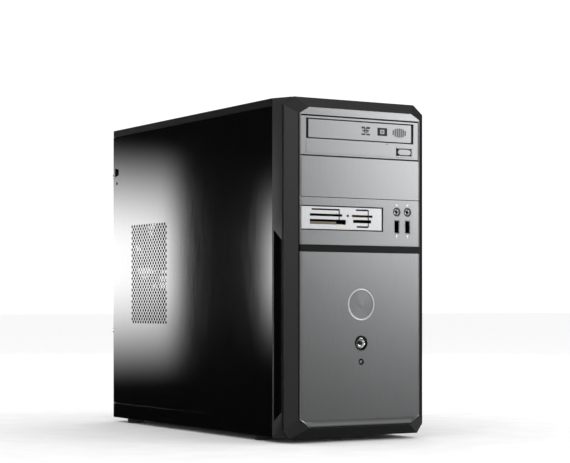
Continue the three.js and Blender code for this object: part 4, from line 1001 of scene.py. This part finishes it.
def activityLamp():
    low, high = cadBox("activity_light")
    r = (high.x - low.x) / 2
    centre = frontCentre(low, high)
    depth = high.y - low.y
    bm = bmesh.new()
    turned(bm, [(1.9, -depth), (r, -depth), (r, -0.1), (r - 0.3, 0.2), (2.3, 0.2), (1.9, -0.5)],
           centre, "front", 40)
    finish(bm, "lamp_collar", "bezel", glossAbs, ["activity_light"])
    bm = bmesh.new()
    turned(bm, [(0, -depth), (1.85, -depth), (1.85, -0.6), (1.4, -0.25), (0.7, -0.1), (0, -0.05)],
           centre, "front", 32)
    finish(bm, "lamp_pipe", "bezel", lightPipe)


badge()
powerButton()
activityLamp()
print("badge and button made")


# ---- rear of the case

screwShape = {"fanHead": 2.4, "supplyHead": 1.9, "tall": 1.6, "fanInset": 5.0, "supplyInset": 2.2}


def hexScrew(bm, centre, head):
    # washer-head hexagon screw with a recess cut as a dish
    tall = screwShape["tall"]
    washer = [(0, 0), (head * 1.25, 0), (head * 1.25, 0.5), (head * 1.1, 0.7), (0, 0.7)]
    turned(bm, washer, centre, "rear", 24)
    turned(bm, [(0, 0.6), (head, 0.6), (head, tall - 0.3), (head - 0.3, tall), (1.5, tall),
                (0.7, tall - 0.9), (0, tall - 0.9)], centre, "rear", 6)


def rearScrews():
    fanLow, fanHigh = cadBox("rear_fan_frame")
    psuLow, psuHigh = cadBox("psu_case")
    skin = cadBox("io_shield")[1].y
    inset, edge = screwShape["fanInset"], screwShape["supplyInset"]
    bm = bmesh.new()
    for x in (fanLow.x + inset, fanHigh.x - inset):
        for z in (fanLow.z + inset, fanHigh.z - inset):
            hexScrew(bm, (x, skin, z), screwShape["fanHead"])
    for x, z in ((psuLow.x + edge, psuHigh.z - 6), (psuHigh.x - edge, psuHigh.z - 6),
                 (psuLow.x + edge, psuLow.z + 16), (psuHigh.x - edge, psuLow.z + edge)):
        hexScrew(bm, (x, skin, z), screwShape["supplyHead"])
    finish(bm, "rear_screws", "chassis", nickelPlate)


knurlShape = {"facets": 48, "tall": 5.2, "pinch": 0.07}


def thumbscrew(node, body):
    low, high = cadBox(node)
    centre = frontCentre(low, high)
    head = (high.x - low.x) / 2
    reach = high.y - low.y
    bm = bmesh.new()
    # knurled head: every other edge of a round bar is pinched in
    made = bmesh.ops.create_cone(
        bm, cap_ends=True, segments=knurlShape["facets"], radius1=head, radius2=head,
        depth=knurlShape["tall"],
        matrix=Matrix.Translation((centre[0], low.y + reach - 3.4, centre[2])) @ facing["rear"],
    )["verts"]
    rim = [f for f in bm.faces if len(f.verts) > 4]
    bmesh.ops.inset_region(bm, faces=rim, thickness=0.7, depth=0.5, use_even_offset=True)
    for v in made:
        angle = math.atan2(v.co.z - centre[2], v.co.x - centre[0])
        if round(angle / (2 * math.pi) * knurlShape["facets"]) % 2:
            v.co.x += (centre[0] - v.co.x) * knurlShape["pinch"]
            v.co.z += (centre[2] - v.co.z) * knurlShape["pinch"]
    turned(bm, [(0, 0), (1.5, 0), (1.75, 0.5), (1.75, reach - 7), (3.8, reach - 6.4), (3.8, reach - 5.8),
                (0, reach - 5.8)], centre, "rear", 28)
    turned(bm, [(0, reach - 2), (1.6, reach - 2), (1.6, reach - 0.35), (1.2, reach - 0.15),
                (0, reach - 0.15)], centre, "rear", 16)
    finish(bm, node + "_turned", body, nickelPlate, [node])


shieldShape = {"lip": 1.9, "ridge": 0.8, "proud": 0.45}


def shieldRidges():
    # pressed ridges round each socket of the port shield
    high = cadBox("io_shield")[1]
    lip, ridge = shieldShape["lip"], shieldShape["ridge"]
    y = (high.y - 0.1, high.y + shieldShape["proud"])
    bm = bmesh.new()
    for name in ("usb_stack_lower", "usb_stack_upper", "network_socket", "display_socket",
                 "line_in_socket", "line_out_socket", "microphone_socket"):
        a, b = openingBox(name)
        x0, x1, z0, z1 = a.x - lip, b.x + lip, a.z - lip, b.z + lip
        tall = (z0 - ridge, z1 + ridge)
        for x, z in (((x0 - ridge, x0), tall), ((x1, x1 + ridge), tall),
                     ((x0, x1), (z0 - ridge, z0)), ((x0, x1), (z1, z1 + ridge))):
            softSlab(bm, x, y, z, 0.15, 1)
    finish(bm, "shield_ridges", "chassis", nickelPlate)


def rearSockets():
    high = cadBox("rear_ports")[1]
    bm = cadCopy("rear_ports")
    roundEdges(bm, rearEdges(bm, high.y), 0.2, 1)
    finish(bm, "socket_block", "chassis", smoothAbsAndShade, ["rear_ports"], recalc=False)

    # thin metal liners in the data sockets, with their tongues and contacts
    liners, tongues, pins = bmesh.new(), bmesh.new(), bmesh.new()
    for name in ("usb_stack_lower", "usb_stack_upper", "network_socket"):
        a, b = openingBox(name)
        y = (high.y - 13.2, high.y - 0.2)
        wall = 0.25
        for x, z in (((a.x, a.x + wall), (a.z, b.z)), ((b.x - wall, b.x), (a.z, b.z)),
                     ((a.x + wall, b.x - wall), (a.z, a.z + wall)),
                     ((a.x + wall, b.x - wall), (b.z - wall, b.z))):
            slab(liners, x, y, z)
        middle = (a.z + b.z) / 2
        if name != "network_socket":
            slab(liners, (a.x + wall, b.x - wall), y, (middle - 0.5, middle + 0.5))
            for z in (a.z + 4.6, middle + 4.6):
                softSlab(tongues, (a.x + 1.6, b.x - 1.6), (y[0], y[1] - 1.6), (z - 0.9, z + 0.9), 0.2, 1)
                for i in range(4):
                    x = a.x + 3.2 + i * (b.x - a.x - 6.4) / 3
                    slab(pins, (x - 0.5, x + 0.5), (y[0] + 1, y[1] - 3), (z - 1.05, z - 0.88))
        else:
            for i in range(8):
                x = a.x + 2.6 + i * (b.x - a.x - 5.2) / 7
                slab(pins, (x - 0.25, x + 0.25), (y[0], y[1] - 2), (b.z - 2.2, b.z - 1.8))
    finish(liners, "socket_liners", "chassis", nickelPlate)
    finish(tongues, "socket_tongues", "chassis", ivoryNylon)
    finish(pins, "socket_pins", "chassis", goldFlash)

    # display socket: a blue D insert; three rows of dark discs on it are painted shade where its holes are
    a, b = openingBox("display_socket")
    middle = (a + b) / 2
    bm = bmesh.new()
    softSlab(bm, (a.x + 0.8, b.x - 0.8), (high.y - 9, high.y - 1.2), (a.z + 5.5, b.z - 5.5), 0.8, 2)
    finish(bm, "display_insert", "chassis", bluePbt)
    # flat dark discs, painted shade standing in for the pin holes
    bm = bmesh.new()
    for row in (-2.2, 0, 2.2):
        for i in range(5):
            turned(bm, [(0, -0.1), (0.55, -0.1), (0.55, 0.03), (0, 0.03)],
                   (middle.x + row, high.y - 1.2, middle.z + (i - 2) * 2.6 + row * 0.3), "rear", 10)
    finish(bm, "display_hole_shade", "chassis", glossAbs)
    bm = bmesh.new()
    for z in (a.z + 2.4, b.z - 2.4):
        post = [(1.2, -9), (2.3, -9), (2.3, 1.6), (2.0, 1.9), (1.2, 1.9)]
        turned(bm, post, (middle.x, high.y, z), "rear", 6)
    finish(bm, "display_posts", "chassis", nickelPlate)

    # coloured throats of the three audio sockets
    for name, colour, label in (
        ("line_in_socket", bluePbt, "line_in"), ("line_out_socket", greenPbt, "line_out"),
        ("microphone_socket", pinkPbt, "rear_microphone"),
    ):
        a, b = openingBox(name)
        middle = (a + b) / 2
        r = min(b.x - a.x, b.z - a.z) / 2
        bm = bmesh.new()
        turned(bm, [(1.85, -13), (r, -13), (r, -0.5), (r - 0.4, -0.1), (2.3, -0.1), (1.85, -0.6)],
               (middle.x, high.y, middle.z), "rear", 32)
        finish(bm, label + "_throat", "chassis", colour)


refined("rear_panel", "chassis", zincSteel, 0.3, 1)
refined("padlock_loop", "chassis", zincSteel, 0.3, 2)
refined("card_latch", "slot_latch", smoothAbsAndShade, 0.6, 2)
refined("io_shield", "chassis", nickelPlate, 0.2, 1)
rearScrews()
thumbscrew("thumbscrew_lower", "thumbscrew_low")
thumbscrew("thumbscrew_upper", "thumbscrew_high")
for n in range(1, 5):
    refined("slot_cover_%d" % n, "chassis", zincSteel, 0.35, 2)
shieldRidges()
rearSockets()
print("rear made")


# ---- power supply

guardShape = {"wire": 1.7, "rings": (0.19, 0.38, 0.57, 0.76, 0.94), "cross": 1.28}


def supply():
    fanLow, fanHigh = cadBox("psu_fan_rotor")
    refined("psu_case", "chassis", zincSteel, 0.5, 2)

    # wire guard: rings on two crossed wires
    guardLow, guardHigh = cadBox("psu_fan_guard")
    centre = (guardLow + guardHigh) / 2
    reach = (guardHigh.x - guardLow.x) / 2
    radius = guardShape["wire"] / 2
    bm = bmesh.new()
    fanRadius = (fanHigh.x - fanLow.x) / 2 + 1.5
    for share in guardShape["rings"]:
        section = []
        for i in range(8):
            angle = math.radians(45 * i)
            section.append((fanRadius * share + radius * math.cos(angle), radius * math.sin(angle)))
        turned(bm, section, centre, "rear", 64)
    for sign in (1, -1):
        bmesh.ops.create_cone(
            bm, cap_ends=True, segments=10, radius1=radius, radius2=radius,
            depth=2 * reach * guardShape["cross"],
            matrix=Matrix.Translation(centre) @ Matrix.Rotation(math.radians(45 * sign), 4, "Y"),
        )
    finish(bm, "guard_wires", "chassis", chromePlate, ["psu_fan_guard"])

    bm = cadCopy("psu_inlet")
    inletLow, inletHigh = cadBox("psu_inlet")
    roundEdges(bm, rearEdges(bm, inletHigh.y, 40), 0.5, 2)
    finish(bm, "inlet_moulding", "chassis", glossAbs, ["psu_inlet"], recalc=False)
    bm = bmesh.new()
    middle = (inletLow + inletHigh) / 2
    for dx, dz in ((-7, -1), (0, 3), (7, -1)):
        softSlab(bm, (middle.x + dx - 1.05, middle.x + dx + 1.05), (inletLow.y + 2, inletHigh.y - 2.0),
                 (middle.z + dz - 2.1, middle.z + dz + 2.1), 0.35, 2)
    finish(bm, "inlet_blades", "chassis", nickelPlate)

    bm = cadCopy("psu_switch")
    roundEdges(bm, sharpEdges(bm, 30), 0.35, 2)
    finish(bm, "rocker_cap", "psu_rocker", glossAbs, ["psu_switch"], recalc=False)


supply()


# ---- fans

fanShape = {
    "blades": 7, "sweep": 17, "thickness": 1.4, "hub": 0.22, "tipGap": 0.3,
    "chord": 30, "taper": 4, "room": 5.5, "camber": 1.4,
}


def rotor(node, body, way):
    # hub with swept, pitched blades inside the space of the CAD rotor
    low, high = cadBox(node)
    centre = (low + high) / 2
    spans = [high.x - low.x, high.y - low.y, high.z - low.z]
    thick = min(spans)
    size = max(spans)
    tip = size / 2 - fanShape["tipGap"]
    hub = size * fanShape["hub"]
    bm = bmesh.new()
    turned(bm, [(0, -thick / 2 + 1), (hub, -thick / 2 + 1), (hub, thick / 2 - 1.2), (hub - 1.2, thick / 2),
                (0, thick / 2)], centre, way, 40)
    for n in range(fanShape["blades"]):
        made = bmesh.ops.create_grid(bm, x_segments=7, y_segments=4, size=0.5)["verts"]
        for v in made:
            along, across = v.co.x + 0.5, v.co.y
            r = hub - 0.6 + (tip - hub + 0.6) * along
            chord = math.radians(fanShape["chord"] - fanShape["taper"] * along)
            angle = across * chord + math.radians(fanShape["sweep"]) * along ** 1.4
            angle += n / fanShape["blades"] * 2 * math.pi
            lift = fanShape["camber"] * math.cos(math.pi * across) - across * (thick - fanShape["room"])
            v.co = (r * math.cos(angle), r * math.sin(angle), lift)
        faces = list({f for v in made for f in v.link_faces})
        bmesh.ops.recalc_face_normals(bm, faces=faces)
        grown = bmesh.ops.solidify(bm, geom=faces, thickness=fanShape["thickness"])
        whole = set(made) | {g for g in grown["geom"] if isinstance(g, bmesh.types.BMVert)}
        bmesh.ops.transform(bm, matrix=Matrix.Translation(centre) @ facing[way], verts=list(whole))
    finish(bm, node + "_blades", body, textureAbs, [node])


rotor("rear_fan_rotor", "rear_fan", "rear")
rotor("psu_fan_rotor", "psu_fan", "rear")
rotor("cpu_fan_rotor", "cpu_fan", "left")
refined("rear_fan_frame", "chassis", textureAbs, 0.5, 2)
refined("cpu_fan_frame", "chassis", textureAbs, 0.5, 2)
print("supply and fans made")


# ---- main board

boardShape = {
    "thickness": 1.6, "socket": 20, "bank": 2.2, "latch": 3.2,
    "slotEnd": 50, "slotLengths": (85, 89, 85, 85),
    "chipPitch": (24, 16), "finPitch": 4.2, "finBlock": 36,
}


def mainBoard():
    low, high = cadBox("main_board")
    face = high.x - boardShape["thickness"]
    modules = [cadBox("memory_module_1"), cadBox("memory_module_2")]
    coolerLow, coolerHigh = cadBox("cpu_heatsink")
    cpuY, cpuZ = (coolerLow.y + coolerHigh.y) / 2, (coolerLow.z + coolerHigh.z) / 2
    covers = [cadBox("slot_cover_%d" % n) for n in range(1, 5)]
    slots = [(cover[0].z + cover[1].z) / 2 for cover in covers]

    bm = bmesh.new()
    softSlab(bm, (face, high.x), (low.y, high.y), (low.z, high.z), 0.3, 1)
    finish(bm, "board_laminate", "chassis", greenLaminate, ["main_board"])

    def on(height, sink=0.1):
        return (face - height, face + sink)

    black = bmesh.new()
    half = boardShape["socket"]
    softSlab(black, on(4), (cpuY - half, cpuY + half), (cpuZ - half, cpuZ + half), 0.5, 2)
    for moduleLow, moduleHigh in modules:
        y = (moduleLow.y + moduleHigh.y) / 2
        for wall in (y - boardShape["bank"], y + boardShape["bank"]):
            softSlab(black, on(11), (wall - 1, wall + 1), (moduleLow.z - 4, moduleHigh.z + 4), 0.3, 2)
        latch = (y - boardShape["latch"], y + boardShape["latch"])
        for z in (moduleLow.z - 4, moduleHigh.z + 1):
            softSlab(black, (face - 15, face), latch, (z, z + 3), 0.4, 2)
    softSlab(black, on(8), (low.y + 30, low.y + 38), (low.z + 6, low.z + 32), 0.3, 2)
    finish(black, "board_sockets", "chassis", smoothAbsAndShade)

    pale = bmesh.new()
    softSlab(pale, on(12), (low.y + 5, low.y + 15), (high.z - 80, high.z - 28), 0.4, 2)
    softSlab(pale, on(9), (low.y + 3, low.y + 21), (low.z + 40, low.z + 54), 0.4, 2)
    end = high.y - boardShape["slotEnd"]
    for z, length in zip(slots, boardShape["slotLengths"]):
        for wall in (z - 2.4, z + 2.4):
            softSlab(pale, on(11), (end - length, end), (wall - 1.3, wall + 1.3), 0.3, 2)
    finish(pale, "board_slots", "chassis", ivoryNylon)

    chips = bmesh.new()
    for n in range(7):
        y = low.y + 60 + (n % 4) * boardShape["chipPitch"][0]
        z = low.z + 112 + (n // 4) * boardShape["chipPitch"][1]
        softSlab(chips, on(1.6), (y, y + 7), (z, z + 5), 0.2, 1)
    for n in range(4):
        z = low.z + 14 + n * 20
        softSlab(chips, on(1.4), (high.y - 30, high.y - 24), (z, z + 10), 0.2, 1)
    finish(chips, "board_chips", "chassis", chipEpoxy)

    cans, sleeves = bmesh.new(), bmesh.new()
    spots = [(cpuY + 30 - i * 12, high.z - 10) for i in range(6)]
    spots += [(cpuY - 52, cpuZ - 38 + i * 11) for i in range(3)]
    spots += [(high.y - 44, low.z + 96 + i * 11) for i in range(3)]
    for y, z in spots:
        turned(sleeves, [(0, 0), (3.9, 0), (3.9, 10.6), (3.4, 11), (0, 11)], (face, y, z), "left", 20)
        turned(cans, [(0, 10.8), (3.3, 10.8), (3.3, 11.3), (3.0, 11.6), (0, 11.6)], (face, y, z), "left", 20)
    finish(sleeves, "capacitor_sleeves", "chassis", glossAbs)
    finish(cans, "capacitor_tops", "chassis", drawnAluminium)

    fins = bmesh.new()
    y0, z0 = cpuY - 38, low.z + 74
    block = boardShape["finBlock"]
    softSlab(fins, on(4), (y0, y0 + block), (z0, z0 + block), 0.3, 1)
    for i in range(9):
        y = y0 + i * boardShape["finPitch"]
        softSlab(fins, (face - 12, face - 3.5), (y, y + 1.4), (z0, z0 + block), 0.2, 1)
    finish(fins, "chipset_fins", "chassis", drawnAluminium)

    cell = bmesh.new()
    coin = [(0, 0), (10, 0), (10, 2.6), (9.6, 3.2), (0, 3.2)]
    turned(cell, coin, (face - 0.8, cpuY - 55, low.z + 12), "left", 40)
    finish(cell, "clock_cell", "chassis", nickelPlate)


def memoryModule(n):
    node = "memory_module_%d" % n
    low, high = cadBox(node)
    card = high.y - 1.3
    bm = bmesh.new()
    softSlab(bm, (low.x, high.x), (card, high.y), (low.z, high.z), 0.15, 1)
    finish(bm, "module_%d_card" % n, "chassis", greenLaminate, [node])
    chips, pins = bmesh.new(), bmesh.new()
    for i in range(8):
        z = low.z + 6 + i * (high.z - low.z - 12) / 8
        softSlab(chips, (high.x - 22, high.x - 11), (card - 1, card + 0.1), (z, z + 9), 0.2, 1)
    for i in range(60):
        z = low.z + 4 + i * (high.z - low.z - 8) / 60
        if abs(i - 26) > 1:
            slab(pins, (high.x - 3.2, high.x - 0.1), (card - 0.03, card + 0.02), (z, z + 1.2))
    finish(chips, "module_%d_chips" % n, "chassis", chipEpoxy)
    finish(pins, "module_%d_contacts" % n, "chassis", goldFlash)


mainBoard()
memoryModule(1)
memoryModule(2)
refined("cpu_heatsink", "chassis", drawnAluminium, 0.25, 1)
print("board made")


# ---- drives

def hardDrive():
    low, high = cadBox("hard_drive")
    refined("hard_drive", "chassis", castAluminium, 0.6, 2)
    middle = ((low.x + high.x) / 2, low.y + 54, high.z - 1.2)
    bm = bmesh.new()
    turned(bm, [(0, 0), (42.5, 0), (42.5, 0.6), (41.8, 1.0), (16, 1.0), (15.4, 0.6), (13, 0.6),
                (12.4, 1.0), (0, 1.0)], middle, "up", 72)
    softSlab(bm, (low.x + 14, high.x - 14), (low.y + 112, low.y + 132), (high.z - 1.2, high.z - 0.3), 0.3, 2)
    finish(bm, "disk_lid", "chassis", drawnAluminium)
    bm = bmesh.new()
    for x in (low.x + 5, high.x - 5):
        for y in (low.y + 6, low.y + 76, high.y - 6):
            turned(bm, [(0, -0.3), (2.4, -0.3), (2.4, 0.5), (2.0, 0.8), (0.9, 0.8), (0.6, 0.3), (0, 0.3)],
                   (x, y, high.z), "up", 24)
    finish(bm, "disk_screws", "chassis", nickelPlate)


hardDrive()
refined("optical_drive", "chassis", zincSteel, 0.5, 2)
refined("optical_bay_cage", "chassis", zincSteel, 0.3, 1)
refined("disk_cage", "chassis", zincSteel, 0.3, 1)
refined("motherboard_tray", "chassis", zincSteel, 0.3, 1)
refined("front_plate", "chassis", zincSteel, 0.25, 1)


# ---- CAD nodes that keep their own shape

carried = {
    "power_switch": smoothAbsAndShade, "psu_harness": cableJacket, "sata_cable": cableJacket,
    "front_lead": cableJacket,
}
for node, material in carried.items():
    piece = frame["nodes"][node]
    if not piece.material_slots:
        piece.data.materials.append(material)
    piece.material_slots[0].link = "OBJECT"
    piece.material_slots[0].material = material


def leadPlugs():
    # moulded plugs at the ends of the internal leads
    low, high = cadBox("main_board")
    face = high.x - boardShape["thickness"]
    for name, material, x, y, z, edge in (
        ("harness_plug", ivoryNylon, (26, 12.2), (5.6, 14.4), (high.z - 79, high.z - 29), 0.6),
        ("data_plug", glossAbs, (19, 9.2), (6, 18), (low.z + 44, low.z + 50), 0.5),
        ("front_lead_plug", smoothAbsAndShade, (14, 8.2), (30.4, 37.6), (low.z + 8, low.z + 30), 0.4),
    ):
        bm = bmesh.new()
        softSlab(bm, [face - depth for depth in x], [low.y + place for place in y], z, edge, 2)
        finish(bm, name, "chassis", material)


leadPlugs()
print("inside made")


# ---- stage and light

def makeFloor():
    # plain pale floor, matt paper
    material = grainedFinish("pale_paper", "#eeeeee", "#f4f4f4", (40, 40, 40), (0.9, 0.95), 0.01, 0.1,
                             Specular_IOR_Level=0.0)
    bm = bmesh.new()
    bmesh.ops.create_grid(bm, x_segments=2, y_segments=2, size=30)
    mesh = bpy.data.meshes.new("floor")
    bm.to_mesh(mesh)
    bm.free()
    mesh.materials.append(material)
    floor = bpy.data.objects.new("floor", mesh)
    floor.location.z = -0.0005
    floor.visible_glossy = False
    bpy.context.collection.objects.link(floor)


def softBox(name, place, target, size, radiance):
    # an area lamp given by the brightness of its face
    lamp = bpy.data.lights.new(name, "AREA")
    lamp.shape = "RECTANGLE"
    lamp.size, lamp.size_y = size
    lamp.energy = radiance * math.pi * lamp.size * lamp.size_y
    box = bpy.data.objects.new(name, lamp)
    box.location = place
    box.rotation_euler = (Vector(target) - Vector(place)).to_track_quat("-Z", "Y").to_euler()
    box.visible_camera = False
    bpy.context.collection.objects.link(box)


def smoothBetween(material, value, start, end):
    return addNode(material, "ShaderNodeMapRange", {
        "Value": value, "From Min": start, "From Max": end,
    }, interpolation_type="SMOOTHSTEP").outputs["Result"]


def times(material, first, second):
    return addNode(material, "ShaderNodeMath", {0: first, 1: second}, operation="MULTIPLY").outputs[0]


def reflectorGlow():
    # a graduated glow: a bell from top to bottom, a main field and a weaker one beside it
    material = bpy.data.materials.new("graduated_reflector")
    material.use_nodes = True
    tree = material.node_tree
    tree.nodes.clear()
    place = addNode(material, "ShaderNodeTexCoord").outputs["Object"]
    axes = addNode(material, "ShaderNodeSeparateXYZ", {"Vector": place})
    x = axes.outputs["X"]
    offset = addNode(material, "ShaderNodeMath", {
        0: axes.outputs["Z"], 1: reflectorShape["height"],
    }, operation="SUBTRACT").outputs[0]
    away = addNode(material, "ShaderNodeMath", {0: offset}, operation="ABSOLUTE").outputs[0]
    bell = smoothBetween(material, away, *reflectorShape["fade"])

    def field(part, glow):
        across = times(material, smoothBetween(material, x, *reflectorShape[part + "Edge"]),
                       smoothBetween(material, x, *reflectorShape[part + "End"]))
        return times(material, times(material, glow, across), reflectorShape[part])

    total = addNode(material, "ShaderNodeMath", {
        0: field("main", bell), 1: field("side", times(material, bell, bell)),
    }, operation="ADD").outputs[0]
    glow = addNode(material, "ShaderNodeEmission", {"Strength": total})
    end = addNode(material, "ShaderNodeOutputMaterial")
    tree.links.new(glow.outputs[0], end.inputs["Surface"])
    return material


def reflector():
    # a card behind the left cover that only reflections see; its back and its unlit parts are black felt
    felt = newMaterial("black_felt", Roughness=1.0, Specular_IOR_Level=0.0)[0]
    felt.node_tree.nodes["Principled BSDF"].inputs["Base Color"].default_value = hexColour("#020202")
    bm = bmesh.new()
    slab(bm, reflectorShape["x"], reflectorShape["y"], reflectorShape["z"])
    facesWhere(bm, lambda f: f.calc_center_median().y < reflectorShape["y"][0] + 0.001, 1)
    mesh = bpy.data.meshes.new("reflector")
    bm.to_mesh(mesh)
    bm.free()
    mesh.materials.append(felt)
    mesh.materials.append(reflectorGlow())
    card = bpy.data.objects.new("reflector", mesh)
    for ray in ("camera", "diffuse", "shadow", "transmission", "volume_scatter"):
        setattr(card, "visible_" + ray, False)
    bpy.context.collection.objects.link(card)


def makeSky():
    # white for the camera and for soft fill; reflections find a dim room with a glow overhead,
    # a pale floor below and a paler wall in front on the left
    world = bpy.data.worlds.new("studio")
    bpy.context.scene.world = world
    world.use_nodes = True
    back = world.node_tree.nodes["Background"]
    path = addNode(world, "ShaderNodeLightPath")
    way = addNode(world, "ShaderNodeTexCoord").outputs["Generated"]
    across, ahead, rise = addNode(world, "ShaderNodeSeparateXYZ", {"Vector": way}).outputs
    front = times(
        world, smoothBetween(world, across, *skyShape["frontAcross"]),
        smoothBetween(world, ahead, *skyShape["frontAhead"]),
    )
    # the floor is pale from a little way out, and shaded beside the case
    floor = times(
        world, smoothBetween(world, rise, *skyShape["below"]),
        smoothBetween(world, rise, *skyShape["beside"]),
    )
    reflected = skyShape["dim"]
    for share, glow in (
        (smoothBetween(world, rise, *skyShape["overhead"]), skyShape["bright"]),
        (floor, skyShape["floor"]),
        (front, skyShape["wall"]),
    ):
        reflected = addNode(world, "ShaderNodeMath", {
            0: times(world, share, glow), 1: reflected,
        }, operation="ADD").outputs[0]
    level = addNode(world, "ShaderNodeMix", {
        0: path.outputs["Is Glossy Ray"], 2: skyShape["fill"], 3: reflected,
    }, data_type="FLOAT")
    back.inputs["Color"].default_value = (1, 1, 1, 1)
    world.node_tree.links.new(level.outputs[0], back.inputs["Strength"])


# metres from here on
reflectorShape = {
    "x": (-2.4, -0.2), "y": (1.5, 1.53), "z": (-0.3, 1.1), "height": 0.235, "fade": (0.265, 0.02),
    "main": 11.0, "mainEdge": (-0.88, -0.8), "mainEnd": (-0.6, -0.66),
    "side": 9.0, "sideEdge": (-1.035, -1.1), "sideEnd": (-1.2, -1.14),
}
skyShape = {
    "fill": 1.07, "dim": 0.03, "bright": 0.27, "overhead": (0.2, 0.8), "floor": 0.45,
    "below": (-0.22, -0.38), "beside": (-0.85, -0.5),
    "wall": 0.3, "frontAcross": (0.25, 0.0), "frontAhead": (-0.2, -0.7),
}
makeFloor()
makeSky()
reflector()
# the key stands in front on the right: its lower and left edges grade the silver face
softBox("key_light", place=(1.98, -2.0, 1.0), target=(1.98, 0, 1.0), size=(1.6, 1.5), radiance=3.6)
softBox("edge_light", place=(-1.75, -1.3, 0.75), target=(0, -0.2, 0.3), size=(0.5, 0.8), radiance=4.0)
softBox("top_light", place=(0.2, -0.3, 2.4), target=(0, 0, 0.2), size=(2.0, 2.0), radiance=0.25)
softBox("rear_light", place=(1.6, 2.2, 1.3), target=(0, 0.1, 0.2), size=(1.2, 1.2), radiance=1.4)
print("stage and light made")
